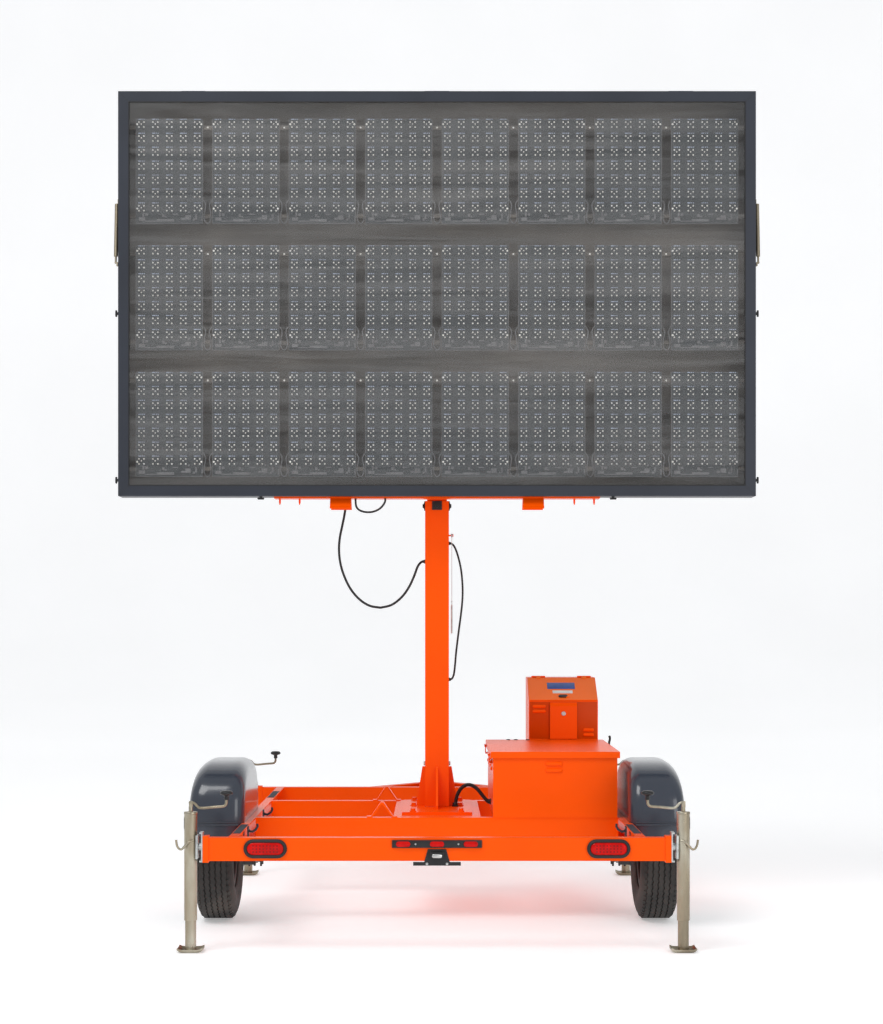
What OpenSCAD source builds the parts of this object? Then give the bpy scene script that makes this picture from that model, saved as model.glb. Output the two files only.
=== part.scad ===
// Portable changeable message sign trailer, millimetres, +Z up.
// The rear of the trailer faces -Y and the tow tongue points along +Y.
// Heights are measured from the ground, and y values from the rear beam's rear face.

/* [Frame] */
// Length of the front and rear beams between their end caps
beam_len = 2002; // [1900:2:2200]
// Height of the frame's beams and rails
beam_h = 102; // [90:1:115]
// Depth of a beam, front to back
beam_d = 51; // [40:1:60]
// Wall of the beams
beam_t = 5; // [3:0.5:8]
// Height of the frame's underside
frame_z = 401; // [380:1:430]
// Overall length of the frame, rear beam to front beam
frame_len = 2861; // [2700:1:3200]
// Width over the side rails
rails_w = 1834; // [1780:2:1860]
// Flange of a side rail
rail_w = 41; // [35:1:60]
// Wall of a side rail
rail_t = 6; // [4:0.5:8]
// Distance from the rear beam to the rear crossmember's rear face
cross_y = 945; // [900:1:1000]
// Distance between the crossmembers' rear faces
cross_pitch = 950; // [900:1:1100]
// Width of the floor plate under the mast
floor_w = 424; // [380:2:480]
// Thickness of the floor plate
floor_t = 8; // [5:0.5:12]
// Width of a beam end cap
cap_w = 26; // [15:1:40]
// How far an end cap stands out past the beam
cap_lip = 7; // [2:0.5:12]

/* [Grips, hooks and cradles] */
// Length of a non-slip patch
grip_len = 420; // [300:5:500]
// Width of a non-slip patch
grip_w = 35; // [25:1:35]
// Thickness of a non-slip patch
grip_t = 1; // [0.5:0.1:2]
// Height of a rest cradle above the frame
cradle_h = 75; // [50:1:100]
// Width of a rest cradle at its foot
cradle_w = 147; // [120:1:180]
// Thickness of a rest cradle's strip
cradle_t = 6; // [4:0.5:8]
// Depth of a rest cradle
cradle_d = 48; // [35:1:50]

/* [Mast] */
// Outer mast width
mast_w = 120; // [110:1:140]
// Outer mast wall
mast_t = 6; // [4:0.5:8]
// Height of the outer mast's top
mast_top_z = 2058; // [1900:1:2060]
// Mast base plate length
base_len = 720; // [560:1:800]
// Mast base plate width
base_w = 345; // [300:1:400]
// Mast base plate thickness
base_t = 14; // [10:0.5:20]
// Mast gusset height
gusset_h = 200; // [150:1:260]
// Gap between the outer and the inner mast, taken up by the wear pads
mast_gap = 4; // [3:0.5:6]
// Inner mast wall
inner_t = 5; // [4:0.5:8]
// How far the inner mast reaches into the outer one when raised
mast_overlap = 378; // [250:1:400]
// Running gap of the wear pads
pad_gap = 0.3; // [0.2:0.05:0.5]
// Width of a wear pad
pad_w = 50; // [40:1:70]
// Height of a wear pad
pad_h = 45; // [30:1:60]
// Radius of the round post that the display turns on
post_r = 44.5; // [38:0.5:46]
// Length of the turning sleeve
sleeve_len = 270; // [200:1:300]
// Running clearance of the round fits
run_gap = 0.05; // [0.02:0.01:0.09]
// Radius of the lift cylinder
ram_r = 30; // [26:0.5:34]
// Radius of the lift rod
ram_rod_r = 17; // [14:0.5:20]

/* [Display] */
// Width of the display
display_w = 3130; // [3000:2:3200]
// Height of the display
display_h = 1987; // [1960:1:2050]
// Height of the display's lower edge when raised
display_z = 2066; // [2064:1:2100]
// Depth of the case behind its door
case_d = 110; // [90:1:120]
// Depth of the door
door_d = 40; // [30:1:45]
// Distance from the mast's centre to the display's back
display_back = 190; // [180:1:220]
// Wall of the case
case_t = 3; // [2:0.5:5]
// Width of the door frame's face
door_face = 50; // [40:1:70]
// Wall of the door frame
door_t = 3; // [2:0.5:5]
// Gap between the door and the case
door_gap = 0.3; // [0.2:0.05:1]
// Thickness of the window
glass_t = 4; // [3:0.5:6]
// Width of one character board
board_w = 330; // [300:1:350]
// Height of one character board
board_h = 516; // [480:1:560]
// Thickness of a board
board_t = 12; // [8:0.5:20]
// Spacing of the board columns
board_pitch_x = 377; // [365:1:382]
// Spacing of the board rows
board_pitch_z = 624; // [600:1:630]
// Height of the lowest board's lower edge above the display's
board_first = 98; // [70:1:110]
// Length of the lower beam
lower_beam_len = 1608; // [1500:2:1700]
// Height of a receiver under the lower beam
receiver_h = 53; // [40:1:60]
// Width of a receiver
receiver_w = 103; // [90:1:120]
// Angle to which the window door opens
door_open = 35; // [20:1:35]

/* [Running gear] */
// Radius of a tyre
tyre_r = 345; // [320:1:350]
// Section width of a tyre
tyre_w = 188; // [160:1:200]
// Radius of a wheel rim
rim_r = 196; // [180:1:210]
// Distance between the wheels' centre planes
track = 2124; // [2100:2:2200]
// Gap between the tyres and the ground while the jacks carry the trailer
tyre_lift = 5; // [2:0.5:8]
// Distance from the rear beam to the axle
axle_y = 1060; // [1000:1:1200]
// Radius of the axle tube
axle_r = 35; // [30:0.5:40]
// Radius of a wheel spindle
spindle_r = 22; // [18:0.5:26]
// Length of a leaf spring between its eyes
spring_len = 760; // [650:1:800]
// Width of a leaf spring
spring_w = 45; // [38:1:50]
// Thickness of one leaf
leaf_t = 8; // [6:0.5:10]
// Length of a fender
fender_len = 860; // [780:1:900]
// Gap between a tyre's side and its fender
fender_gap = 9; // [6:1:30]
// Height of a fender's top
fender_top = 800; // [760:1:820]
// Height of a fender's lower edge
fender_low = 484; // [440:1:500]
// Wall of a fender
fender_t = 4; // [3:0.5:6]

/* [Jacks] */
// Distance between the left and right jacks
jack_track = 2164; // [2160:2:2300]
// Radius of a jack's outer tube
jack_r = 28.5; // [25:0.5:30]
// Wall between the outer tube's skin and its bore
jack_t = 4; // [3:0.5:5]
// Height of the outer tube's lower end
jack_low = 138; // [120:1:160]
// Length of the outer tube
jack_len = 472; // [420:1:480]
// Length of a jack leg
leg_len = 462; // [440:1:480]
// Wall of a jack leg
leg_t = 4; // [3:0.5:6]
// Width of a jack foot
foot_w = 116; // [100:1:140]
// Thickness of a jack foot
foot_t = 5; // [4:0.5:8]
// Height of a jack mount
mount_h = 131; // [120:1:150]
// Reach of a crank arm
crank_reach = 157; // [120:1:165]

/* [Tongue] */
// Length of the tongue ahead of the front beam
tongue_len = 1080; // [900:5:1300]
// Width of the tongue tube
tongue_w = 76; // [70:1:90]
// Spread of the tongue braces at the front beam
brace_spread = 560; // [400:5:700]
// Radius of the coupler's ball socket
socket_r = 29.6; // [25:0.1:30]

/* [Cabinets] */
// Width of the battery box
box_w = 600; // [560:1:600]
// Length of the battery box
box_len = 1034; // [1000:1:1040]
// Height of the battery box with its lid
box_h = 319; // [290:1:325]
// Distance from the centre line to the battery box
box_x = 271; // [265:1:275]
// Depth of the lid's skirt
lid_skirt = 31; // [20:1:40]
// Overhang of the lid around the box
lid_over = 12; // [8:0.5:14]
// Wall of the sheet metal cabinets
sheet_t = 3; // [2:0.5:4]
// Width of the control cabinet
cabinet_w = 368; // [340:1:370]
// Depth of the control cabinet
cabinet_d = 408; // [380:1:450]
// Height of the control cabinet's rear face
cabinet_face_h = 526; // [480:1:560]
// Rise of the control cabinet's sloping flap
slope_h = 117; // [80:1:150]
// Run of the control cabinet's sloping flap
slope_d = 210; // [160:1:240]
// Gap between the battery box lid and the control cabinet
cabinet_gap = 12; // [10:0.5:20]

/* [Lights] */
// Distance between the tail lights
tail_pitch = 1504; // [1400:2:1600]
// Length of a tail light with its grommet
tail_len = 190; // [160:1:200]
// Height of a tail light with its grommet
tail_h = 83; // [70:1:90]
// Length of the identification light bar
id_len = 394; // [380:1:430]

/* [Hidden] */
$fn = 48;
ZINC = "#c9c4b0";
ORANGE = "#ff5f00";
BLACK = "#202124";
CHARCOAL = "#2f343c";
SLATE = "#3a4048";
GREY = "#8b8f94";
RED = "#c01810";
GREEN = "#2c5a3a";
CLEAR = [0.8, 0.9, 0.95, 0.35];

frame_top = frame_z + beam_h;
rail_x = rails_w / 2;
rail_in = rail_x - rail_w;
front_y = frame_len - beam_d;
beam_half = beam_len / 2;
cap_x = beam_half + cap_w;
cross_ys = [cross_y, cross_y + cross_pitch];
mast_y = cross_y + (cross_pitch + beam_d) / 2;

grip_ys = [180, 2105];
hook_ys = [510, 1370];
foot_back = foot_w / 2 - beam_d / 2;
tongue_y = frame_len + tongue_len;
coupler_len = 200;
front_end = tongue_y + coupler_len - 60;
mid_y = (front_end - foot_back) / 2;

base_z = frame_top + base_t;
inner_w = mast_w - 2 * mast_t - 2 * mast_gap;
inner_z = mast_top_z - mast_overlap;
post_z = 3520;
plate_t = 12;
inner_plate_w = 130;
sleeve_z = post_z + plate_t + door_gap;
post_top = sleeve_z + sleeve_len + door_gap;
ram_z = base_z + 3;
ram_len = 1380;

display_x = display_w / 2;
display_top = display_z + display_h;
case_back = mast_y - display_back;
case_front = case_back - case_d;
door_front = case_front - door_gap - door_d;
hinge_r = 5.5;
hinge_pin_r = 3;
hinge_z = display_top + 5.5;
hinge_y = case_front - door_gap / 2;
knuckle_len = 40;
hinge_xs = [-1200, 0, 1200];
board_front = case_front + 8;
lower_beam_t = 8;
lower_beam_z = display_z - lower_beam_t;
cradle_x = mast_y - (case_back + door_front) / 2;
receiver_x = cross_pitch / 2;
receiver_y = mast_y - cradle_x;
spine_w = 100;
spine_d = 50;

wheel_x = track / 2;
wheel_z = tyre_r + tyre_lift;
spring_x = rail_x - rail_w / 2 - 12;
fender_in = rail_x - 12;
fender_w = wheel_x + tyre_w / 2 + fender_gap + fender_t - fender_in;
fender_y = axle_y - fender_len / 2;

jack_x = jack_track / 2;
jack_ys = [beam_d / 2, front_y + beam_d / 2];
jack_pivot_z = frame_top - beam_h / 2 + 9;
leg_r = jack_r - jack_t - run_gap;
jack_top = jack_low + jack_len;
crank_z = jack_top + 43;

box_back = cross_y - 5;
box_front = box_back + box_len;
box_top = frame_top + box_h;
box_x1 = box_x + box_w;
lid_hinge_x = box_x - lid_over - 6;
lid_hinge_z = box_top - 22;
cabinet_x0 = box_x1 - 13 - cabinet_w;
cabinet_x1 = cabinet_x0 + cabinet_w;
cabinet_y0 = box_front + lid_over + cabinet_gap;
cabinet_y1 = cabinet_y0 + cabinet_d;
face_top = frame_top + cabinet_face_h;
cabinet_top = face_top + slope_h;

// ---------- helpers ----------

// Moves what is drawn from the rear beam's rear face to the row's own origin.
module from_rear() {
    translate([0, -mid_y, 0]) children();
}

module block(low, high) {
    translate(low) cube(high - low);
}

module both_sides() {
    children();
    mirror([1, 0, 0]) children();
}

// A rectangular tube along Y or X is a block less a longer block inside it.
module tube_x(low, high, wall) {
    difference() {
        block(low, high);
        block(low + [-1, wall, wall], high + [1, -wall, -wall]);
    }
}

module tube_y(low, high, wall) {
    difference() {
        block(low, high);
        block(low + [wall, -1, wall], high + [-wall, 1, -wall]);
    }
}

module rod_x(x0, x1, y, z, r) {
    translate([x0, y, z]) rotate([0, 90, 0]) cylinder(h = x1 - x0, r = r);
}

module rod_y(x, y0, y1, z, r) {
    translate([x, y0, z]) rotate([-90, 0, 0]) cylinder(h = y1 - y0, r = r);
}

// A hexagonal bolt head with a washer, standing on a face at its origin, along +Z.
module bolt_head(r, h) {
    cylinder(h = 0.3 * h, r = 1.35 * r);
    cylinder(h = h, r = r, $fn = 6);
}

function unit(v) = v / norm(v);
function tangent(p, i) = unit(p[min(i + 1, len(p) - 1)] - p[max(i - 1, 0)]);
function ring(p, i, r, sides, normal) =
    let (t = tangent(p, i), u = unit(cross(t, normal)), w = cross(t, u))
    [for (k = [0:sides - 1]) p[i] + r * (cos(360 * k / sides) * u + sin(360 * k / sides) * w)];

// A round bar swept along points; normal is square to the plane the bar mostly bends in.
module swept(points, r, normal, sides = 10) {
    n = len(points);
    rings = [for (i = [0:n - 1]) each ring(points, i, r, sides, normal)];
    walls = [
        for (i = [0:n - 2]) for (k = [0:sides - 1])
            let (a = i * sides + k, b = i * sides + (k + 1) % sides)
            each [[a, a + sides, b + sides], [a, b + sides, b]]
    ];
    first = [for (k = [0:sides - 1]) k];
    last = [for (k = [0:sides - 1]) n * sides - 1 - k];
    polyhedron(rings, concat([first], walls, [last]));
}

// A flat outline in Y and Z, drawn as points and pushed along +X.
module side_plate(x0, x1, points) {
    translate([x0, 0, 0])
        rotate([90, 0, 90])
            linear_extrude(x1 - x0) polygon(points);
}

// An outline in X and Z pushed along +Y.
module front_plate(y0, y1, points) {
    translate([0, y1, 0])
        rotate([90, 0, 0])
            linear_extrude(y1 - y0) polygon(points);
}

// ---------- frame ----------

module end_beam(y) {
    tube_x([-beam_half, y, frame_z], [beam_half, y + beam_d, frame_top], beam_t);
    both_sides()
        block([beam_half, y - 4, frame_z - cap_lip], [cap_x, y + beam_d + 4, frame_top + cap_lip]);
}

module rear_beam() color(ORANGE) from_rear() end_beam(0);

module front_beam() color(ORANGE) from_rear() end_beam(front_y);

module crossmembers() color(ORANGE) from_rear()
    for (y = cross_ys)
        tube_x([-rail_in, y, frame_z], [rail_in, y + beam_d, frame_top], beam_t);

module side_rails() color(ORANGE) from_rear()
    both_sides()
        difference() {
            block([rail_in, beam_d, frame_z], [rail_x, front_y, frame_top]);
            block([rail_in - 1, beam_d - 1, frame_z + rail_t], [rail_x - rail_t, front_y + 1, frame_top - rail_t]);
        }

// A pressed pan between the crossmembers, and the plate that carries the control cabinet.
module floor_plates() color(ORANGE) from_rear() {
    mast_pan();
    cabinet_shelf();
}

// A top plate with a flange down each side.
module mast_pan() {
    y0 = cross_ys[0] + beam_d;
    difference() {
        block([-floor_w / 2, y0, frame_z], [floor_w / 2, cross_ys[1], frame_top]);
        block([-floor_w / 2 + floor_t, y0 - 1, frame_z - 1],
              [floor_w / 2 - floor_t, cross_ys[1] + 1, frame_top - floor_t]);
    }
}

// An angle from the front crossmember to the right rail.
module cabinet_shelf() {
    y0 = cross_ys[1] + beam_d;
    block([cabinet_x0 - 30, y0, frame_top - 6], [rail_in, cabinet_y1 + 20, frame_top]);
    block([cabinet_x0 - 30, y0, frame_z + 10], [cabinet_x0 - 24, cabinet_y1 + 20, frame_top - 6]);
}

// Non-slip patches on the rails, and tie-down hooks inside them.
module deck_fittings() color(BLACK) from_rear() {
    grip_patches();
    both_sides() translate([0, hook_ys[0], 0]) tie_down_hook();
    mirror([1, 0, 0]) translate([0, hook_ys[1], 0]) tie_down_hook();
}

module grip_patches()
    both_sides()
        for (y = grip_ys)
            translate([rail_x - (rail_w + grip_w) / 2, y, frame_top]) cube([grip_w, grip_len, grip_t]);

// A cleat plate on the rail's inner lip with a short bent hook and its bolt.
module tie_down_hook() {
    hook_z = frame_top - 22;
    hook = [[-5, 0, 0], [-23, 0, -2], [-39, 0, 8], [-47, 0, 22], [-45, 0, 34]];
    translate([rail_in, 0, hook_z]) {
        block([-5, -22, 22 - beam_h], [0, 22, 22]);
        swept(hook, 5.5, [0, 1, 0], 8);
    }
    translate([rail_in - 5, 14, hook_z]) rotate([0, -90, 0]) bolt_head(6, 6);
}

// An upside-down V of bent strip, which the stowed display sits on.
module rest_cradle() {
    half = cradle_w / 2;
    foot = 24;
    front_plate(-cradle_d / 2, cradle_d / 2, [
        [-half, 0], [-half + foot, 0], [0, cradle_h - 1.6 * cradle_t], [half - foot, 0], [half, 0],
        [half, cradle_t], [half - foot + 4, cradle_t], [6, cradle_h], [-6, cradle_h],
        [-half + foot - 4, cradle_t], [-half, cradle_t]
    ]);
}

module rest_cradles() color(ORANGE) from_rear()
    for (y = cross_ys)
        translate([-cradle_x, y + beam_d / 2, frame_top]) rest_cradle();

// ---------- mast ----------

base_bolt_x = 118;
base_bolt_ys = [-325, 0, 325];

module mast_gusset(reach) {
    front_plate(-5, 5, [[0, 0], [reach, 0], [reach, 18], [14, gusset_h], [0, gusset_h]]);
}

// The base plate with its gussets, and the bolts that hold it down.
module mast_base() color(ORANGE) from_rear() {
    translate([0, mast_y, frame_top])
        block([-base_w / 2, -base_len / 2, 0], [base_w / 2, base_len / 2, base_t]);
    translate([0, mast_y, base_z]) {
        both_sides() translate([mast_w / 2, 0, 0]) mast_gusset(43);
        for (turn = [90, 270]) rotate(turn) translate([mast_w / 2, 0, 0]) mast_gusset(150);
        for (y = base_bolt_ys)
            both_sides() translate([base_bolt_x, y * base_len / 720, 0]) bolt_head(12, 16);
    }
}

// A square tube, with the stud that the lock pin hangs from.
module mast_outer() color(ORANGE) from_rear() {
    difference() {
        block([-mast_w / 2, mast_y - mast_w / 2, base_z], [mast_w / 2, mast_y + mast_w / 2, mast_top_z]);
        block([-mast_w / 2 + mast_t, mast_y - mast_w / 2 + mast_t, base_z - 1],
              [mast_w / 2 - mast_t, mast_y + mast_w / 2 - mast_t, mast_top_z + 1]);
    }
    rod_x(mast_w / 2, lock_pin_x + 8, lock_pin_y, lock_eye_z, lock_stud_r);
    rod_x(lock_pin_x + 5, lock_pin_x + 8, lock_pin_y, lock_eye_z, lock_stud_r + 3);
}

// Low-friction pads inside the outer mast's mouth, and their black covers and bolts outside.
module mast_pads() color(BLACK) from_rear()
    translate([0, mast_y, mast_top_z - pad_h])
        for (turn = [0:90:270]) rotate(turn) {
            pad_in = inner_w / 2 + pad_gap;
            block([-pad_w / 2, -mast_w / 2 + mast_t, 0], [pad_w / 2, -pad_in, pad_h]);
            block([-pad_w / 2, -mast_w / 2 - 5, 0], [pad_w / 2, -mast_w / 2, pad_h]);
            translate([0, -mast_w / 2 - 5, pad_h / 2]) rotate([90, 0, 0]) bolt_head(11, 8);
        }

module lift_cylinder() color(GREY) from_rear()
    translate([0, mast_y, ram_z]) {
        difference() {
            cylinder(h = ram_len, r = ram_r);
            translate([0, 0, 20]) cylinder(h = ram_len - 45, r = ram_r - 5);
            translate([0, 0, ram_len - 26]) cylinder(h = 30, r = ram_rod_r + run_gap);
        }
        block([-18, -18, -3], [18, 18, 0]);
    }

// The inner tube with its top plate, its round post, its lower slides and the lift rod.
module mast_inner() color(ORANGE) from_rear()
    translate([0, mast_y, 0]) {
        difference() {
            block([-inner_w / 2, -inner_w / 2, inner_z], [inner_w / 2, inner_w / 2, post_z]);
            block([-inner_w / 2 + inner_t, -inner_w / 2 + inner_t, inner_z - 1],
                  [inner_w / 2 - inner_t, inner_w / 2 - inner_t, post_z + 1]);
        }
        translate([0, 0, post_z]) {
            block([-inner_plate_w / 2, -inner_plate_w / 2, 0], [inner_plate_w / 2, inner_plate_w / 2, plate_t]);
            translate([0, 0, plate_t]) cylinder(h = post_top - post_z - plate_t, r = post_r);
        }
        translate([0, 0, post_top]) cylinder(h = 8, r = post_r + 10);
        for (turn = [0:90:270]) rotate(turn)
            block([-pad_w / 2, inner_w / 2, inner_z], [pad_w / 2, mast_w / 2 - mast_t - pad_gap, inner_z + pad_h]);
        rod_bottom = ram_z + ram_len - 130;
        translate([0, 0, rod_bottom]) cylinder(h = 40, r = ram_r - 5 - run_gap);
        translate([0, 0, rod_bottom + 40]) cylinder(h = post_z - rod_bottom - 40, r = ram_rod_r);
    }

// ---------- display ----------

// An open-fronted case with its half of the door's hinges and the side pivots of the struts.
module display_case() color(CHARCOAL) from_rear() {
    difference() {
        block([-display_x, case_front, display_z], [display_x, case_back, display_top]);
        block([-display_x + case_t, case_front - 1, display_z + case_t],
              [display_x - case_t, case_back - case_t, display_top - case_t]);
    }
    for (x = hinge_xs) {
        for (side = [-1, 1])
            translate([x + side * knuckle_len, 0, 0]) case_knuckle();
        rod_x(x - 1.5 * knuckle_len, x + 1.5 * knuckle_len, hinge_y, hinge_z, hinge_pin_r);
    }
    both_sides() rod_x(display_x, display_x + 4, strut_base_y, strut_base_z, 9);
}

module case_knuckle() {
    half = knuckle_len / 2 - 0.5;
    difference() {
        union() {
            rod_x(-half, half, hinge_y, hinge_z, hinge_r);
            block([-half, hinge_y + 1, display_top], [half, hinge_y + 30, display_top + 3]);
        }
        rod_x(-half - 1, half + 1, hinge_y, hinge_z, hinge_pin_r);
        block([-half - 1, hinge_y - hinge_r - 1, display_top - 3], [half + 1, hinge_y + 0.5, hinge_z - 4]);
    }
}

module door_knuckle() {
    half = knuckle_len / 2 - 0.5;
    difference() {
        union() {
            rod_x(-half, half, hinge_y, hinge_z, hinge_r);
            block([-half, hinge_y - 30, display_top], [half, hinge_y - 1, display_top + 3]);
        }
        rod_x(-half - 1, half + 1, hinge_y, hinge_z, hinge_pin_r + run_gap);
        block([-half - 1, hinge_y - 0.5, display_top - 3], [half + 1, hinge_y + hinge_r + 1, hinge_z - 4]);
    }
}

// Character boards in 3 lines of 8, each on its own module, carried by rails across the case.
module display_boards() color(GREEN) from_rear() {
    rail_d = 18;
    for (row = [0:2]) {
        z = display_z + board_first + row * board_pitch_z;
        for (col = [-3.5:1:3.5])
            translate([col * board_pitch_x - board_w / 2, board_front, z]) cube([board_w, board_t, board_h]);
        for (rail_z = [z + 30, z + board_h - 50])
            block([-display_x + case_t, board_front + board_t, rail_z],
                  [display_x - case_t, board_front + board_t + rail_d, rail_z + 20]);
    }
}

// The lower beam under the case, its pointed locking screws and the two receivers.
module display_beam() color(ORANGE) from_rear() {
    half = lower_beam_len / 2;
    block([-half, case_front + 6, lower_beam_z], [half, case_back + 8, display_z]);
    block([-half, case_back, display_z], [half, case_back + 8, display_z + 70]);
    for (x = [-779, -681, 681, 779])
        translate([x, case_back - 40, lower_beam_z - 30]) {
            cylinder(h = 12, r1 = 1.5, r2 = 5);
            translate([0, 0, 12]) cylinder(h = 18, r = 5);
        }
    both_sides() translate([receiver_x, receiver_y, lower_beam_z]) receiver();
}

// A bent plate, open downwards and flared, that drops over a rest cradle.
module receiver() {
    half = receiver_w / 2;
    h = receiver_h;
    rotate(90)
        front_plate(-half, half, [
            [-26, 0], [26, 0], [58, -h + 14], [72, -h + 4], [68, -h], [52, -h + 9],
            [21, -6], [-21, -6], [-52, -h + 9], [-68, -h], [-72, -h + 4], [-58, -h + 14]
        ]);
}

// The upright on the case's back and the sleeve that turns on the mast's post.
module display_spine() color(ORANGE) from_rear() {
    y1 = case_back + spine_d;
    spine_top = sleeve_z + sleeve_len + 20;
    difference() {
        block([-spine_w / 2, case_back, display_z + 70], [spine_w / 2, y1, spine_top]);
        block([-spine_w / 2 + 5, case_back + 5, display_z + 69], [spine_w / 2 - 5, y1 - 5, spine_top + 1]);
    }
    difference() {
        union() {
            translate([0, mast_y, sleeve_z]) cylinder(h = sleeve_len, r = post_r + 12);
            block([-40, y1, sleeve_z], [40, mast_y - 30, sleeve_z + sleeve_len]);
        }
        translate([0, mast_y, sleeve_z - 1]) cylinder(h = sleeve_len + 2, r = post_r + run_gap);
    }
}

knob_side_zs = [2145, 2964];
knob_bottom_x = 866;
knob_y = case_front - door_gap - door_d / 2;
knob_hole_r = 4;

// The window's frame: a mitred angle all round, its hinge halves and its strut studs.
module display_door() color(CHARCOAL) from_rear() {
    y1 = case_front - door_gap;
    difference() {
        block([-display_x, door_front, display_z], [display_x, y1, display_top]);
        block([-display_x + door_t, door_front + door_t, display_z + door_t],
              [display_x - door_t, y1 + 1, display_top - door_t]);
        block([-display_x + door_face, door_front - 1, display_z + door_face],
              [display_x - door_face, y1, display_top - door_face]);
        for (z = knob_side_zs)
            both_sides() rod_x(display_x - 10, display_x + 1, knob_y, z, knob_hole_r + run_gap);
        for (side = [-1, 1])
            translate([side * knob_bottom_x, knob_y, display_z - 1])
                cylinder(h = 10, r = knob_hole_r + run_gap);
    }
    for (x = hinge_xs) translate([x, 0, 0]) door_knuckle();
    both_sides() rod_x(display_x, display_x + 4, strut_end_y, strut_end_z, 9);
}

// The window is bonded behind the frame's face.
module door_glass() color(CLEAR) from_rear() {
    lap = door_face - 20;
    block([-display_x + lap, door_front + door_t, display_z + lap],
          [display_x - lap, door_front + door_t + glass_t, display_top - lap]);
}

// A two-lobed knob with its spindle, along +X from a face at its origin.
module wing_knob() {
    translate([-8, 0, 0]) rotate([0, 90, 0]) cylinder(h = 8.5, r = knob_hole_r);
    translate([0.5, 0, 0]) rotate([0, 90, 0]) cylinder(h = 7, r = 8);
    for (side = [-1, 1]) translate([7.5, side * 9, 0]) rotate([0, 90, 0]) cylinder(h = 9, r = 8);
    block([7.5, -9, -6], [16.5, 9, 6]);
}

module side_knob(side, z) color(BLACK) from_rear()
    translate([side * display_x, knob_y, z])
        rotate([side > 0 ? 90 : -90, 0, side > 0 ? 0 : 180]) wing_knob();

module bottom_knob(side) color(BLACK) from_rear()
    translate([side * knob_bottom_x, knob_y, display_z]) rotate([0, 90, 0]) rotate([90, 0, 0]) wing_knob();

strut_base_y = case_front + 20;
strut_base_z = hinge_z - 535;
strut_end_y = case_front - 20;
strut_end_z = hinge_z - 852;
strut_len = norm([strut_base_y - strut_end_y, strut_base_z - strut_end_z]);
strut_lean = atan2(strut_base_y - strut_end_y, strut_base_z - strut_end_z);
strut_x = display_x + 4.5;
strut_tube_r = 10;
strut_rod_r = 5;

// Places what is drawn hanging down from the strut's upper pivot.
module at_strut() {
    both_sides()
        translate([strut_x + strut_tube_r, strut_base_y, strut_base_z])
            rotate([-strut_lean, 0, 0]) children();
}

// Gas strut bodies that hold the window door open, one on each side.
module strut_tubes() color(ZINC) from_rear() at_strut() {
    length = strut_len - 40;
    difference() {
        translate([0, 0, -length]) cylinder(h = length - 14, r = strut_tube_r);
        translate([0, 0, -length + 8]) cylinder(h = length - 40, r = strut_tube_r - 2);
        translate([0, 0, -length - 1]) cylinder(h = 20, r = strut_rod_r + run_gap);
    }
    block([-strut_tube_r, -7, -14], [-strut_tube_r + 6, 7, 9]);
    block([-strut_tube_r, -7, -20], [strut_tube_r - 3, 7, -14]);
}

module strut_rods() color(ZINC) from_rear() at_strut() {
    translate([0, 0, -strut_len + 10]) cylinder(h = strut_len - 62, r = strut_rod_r);
    block([-strut_tube_r, -7, -strut_len - 9], [-strut_tube_r + 6, 7, -strut_len + 10]);
    block([-strut_tube_r + 6, -7, -strut_len + 4], [strut_rod_r, 7, -strut_len + 10]);
}

// ---------- running gear ----------

spindle_in = wheel_x - 70;

module axle() color(BLACK) from_rear()
    translate([0, axle_y, wheel_z]) {
        rod_x(-spindle_in, spindle_in, 0, 0, axle_r);
        both_sides() rod_x(spindle_in, wheel_x + 60, 0, 0, spindle_r);
    }

leaf_z = wheel_z - axle_r - 0.3;

// A leaf pack under each end of the axle, with its U-bolts, hangers and shackles.
module leaf_springs() color(BLACK) from_rear() both_sides() leaf_spring();

module leaf_spring() {
    half = spring_len / 2;
    eye_z = leaf_z + 6;
    x0 = spring_x - spring_w / 2;
    x1 = spring_x + spring_w / 2;
    for (i = [0:2]) {
        reach = half * (1 - 0.28 * i);
        z = leaf_z - leaf_t * (i + 1);
        block([x0, axle_y - reach, z], [x1, axle_y + reach, z + leaf_t]);
    }
    block([x0, axle_y - 60, leaf_z - 3 * leaf_t - 8], [x1, axle_y + 60, leaf_z - 3 * leaf_t]);
    for (side = [-1, 1]) {
        y = axle_y + side * half;
        difference() {
            rod_x(x0, x1, y, eye_z, 16);
            rod_x(x0 - 1, x1 + 1, y, eye_z, 8);
            block([x0 - 1, y - 20, leaf_z - 30], [x1 + 1, y + 20, leaf_z - leaf_t]);
        }
        rod_x(x0 - 10, x1 + 10, y, eye_z, 8);
        for (x = [x0 - 9, x1 + 1])
            side_plate(x, x + 8, [
                [y - 18, eye_z - 18], [y + 18, eye_z - 18], [y + 32, frame_z], [y - 32, frame_z]
            ]);
        block([x0 - 9, y - 32, frame_z - 6], [x1 + 9, y + 32, frame_z]);
        for (x = [x0 - 6, x1 + 6])
            translate([x, axle_y + side * (axle_r + 6), leaf_z - 3 * leaf_t - 30])
                cylinder(h = 2 * axle_r + 3 * leaf_t + 36, r = 5);
    }
    for (side = [-1, 1])
        block([x0 - 11, axle_y + side * (axle_r + 6) - 5, wheel_z + axle_r + 6],
              [x1 + 11, axle_y + side * (axle_r + 6) + 5, wheel_z + axle_r + 12]);
    for (x = [x0 - 6, x1 + 6])
        block([x - 5, axle_y - axle_r - 11, wheel_z + axle_r + 1], [x + 5, axle_y + axle_r + 11, wheel_z + axle_r + 6]);
    for (x = [x0 - 11, x1])
        block([x, axle_y - 55, leaf_z - 3 * leaf_t - 8], [x + 11, axle_y + 55, leaf_z - 3 * leaf_t]);
}

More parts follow.
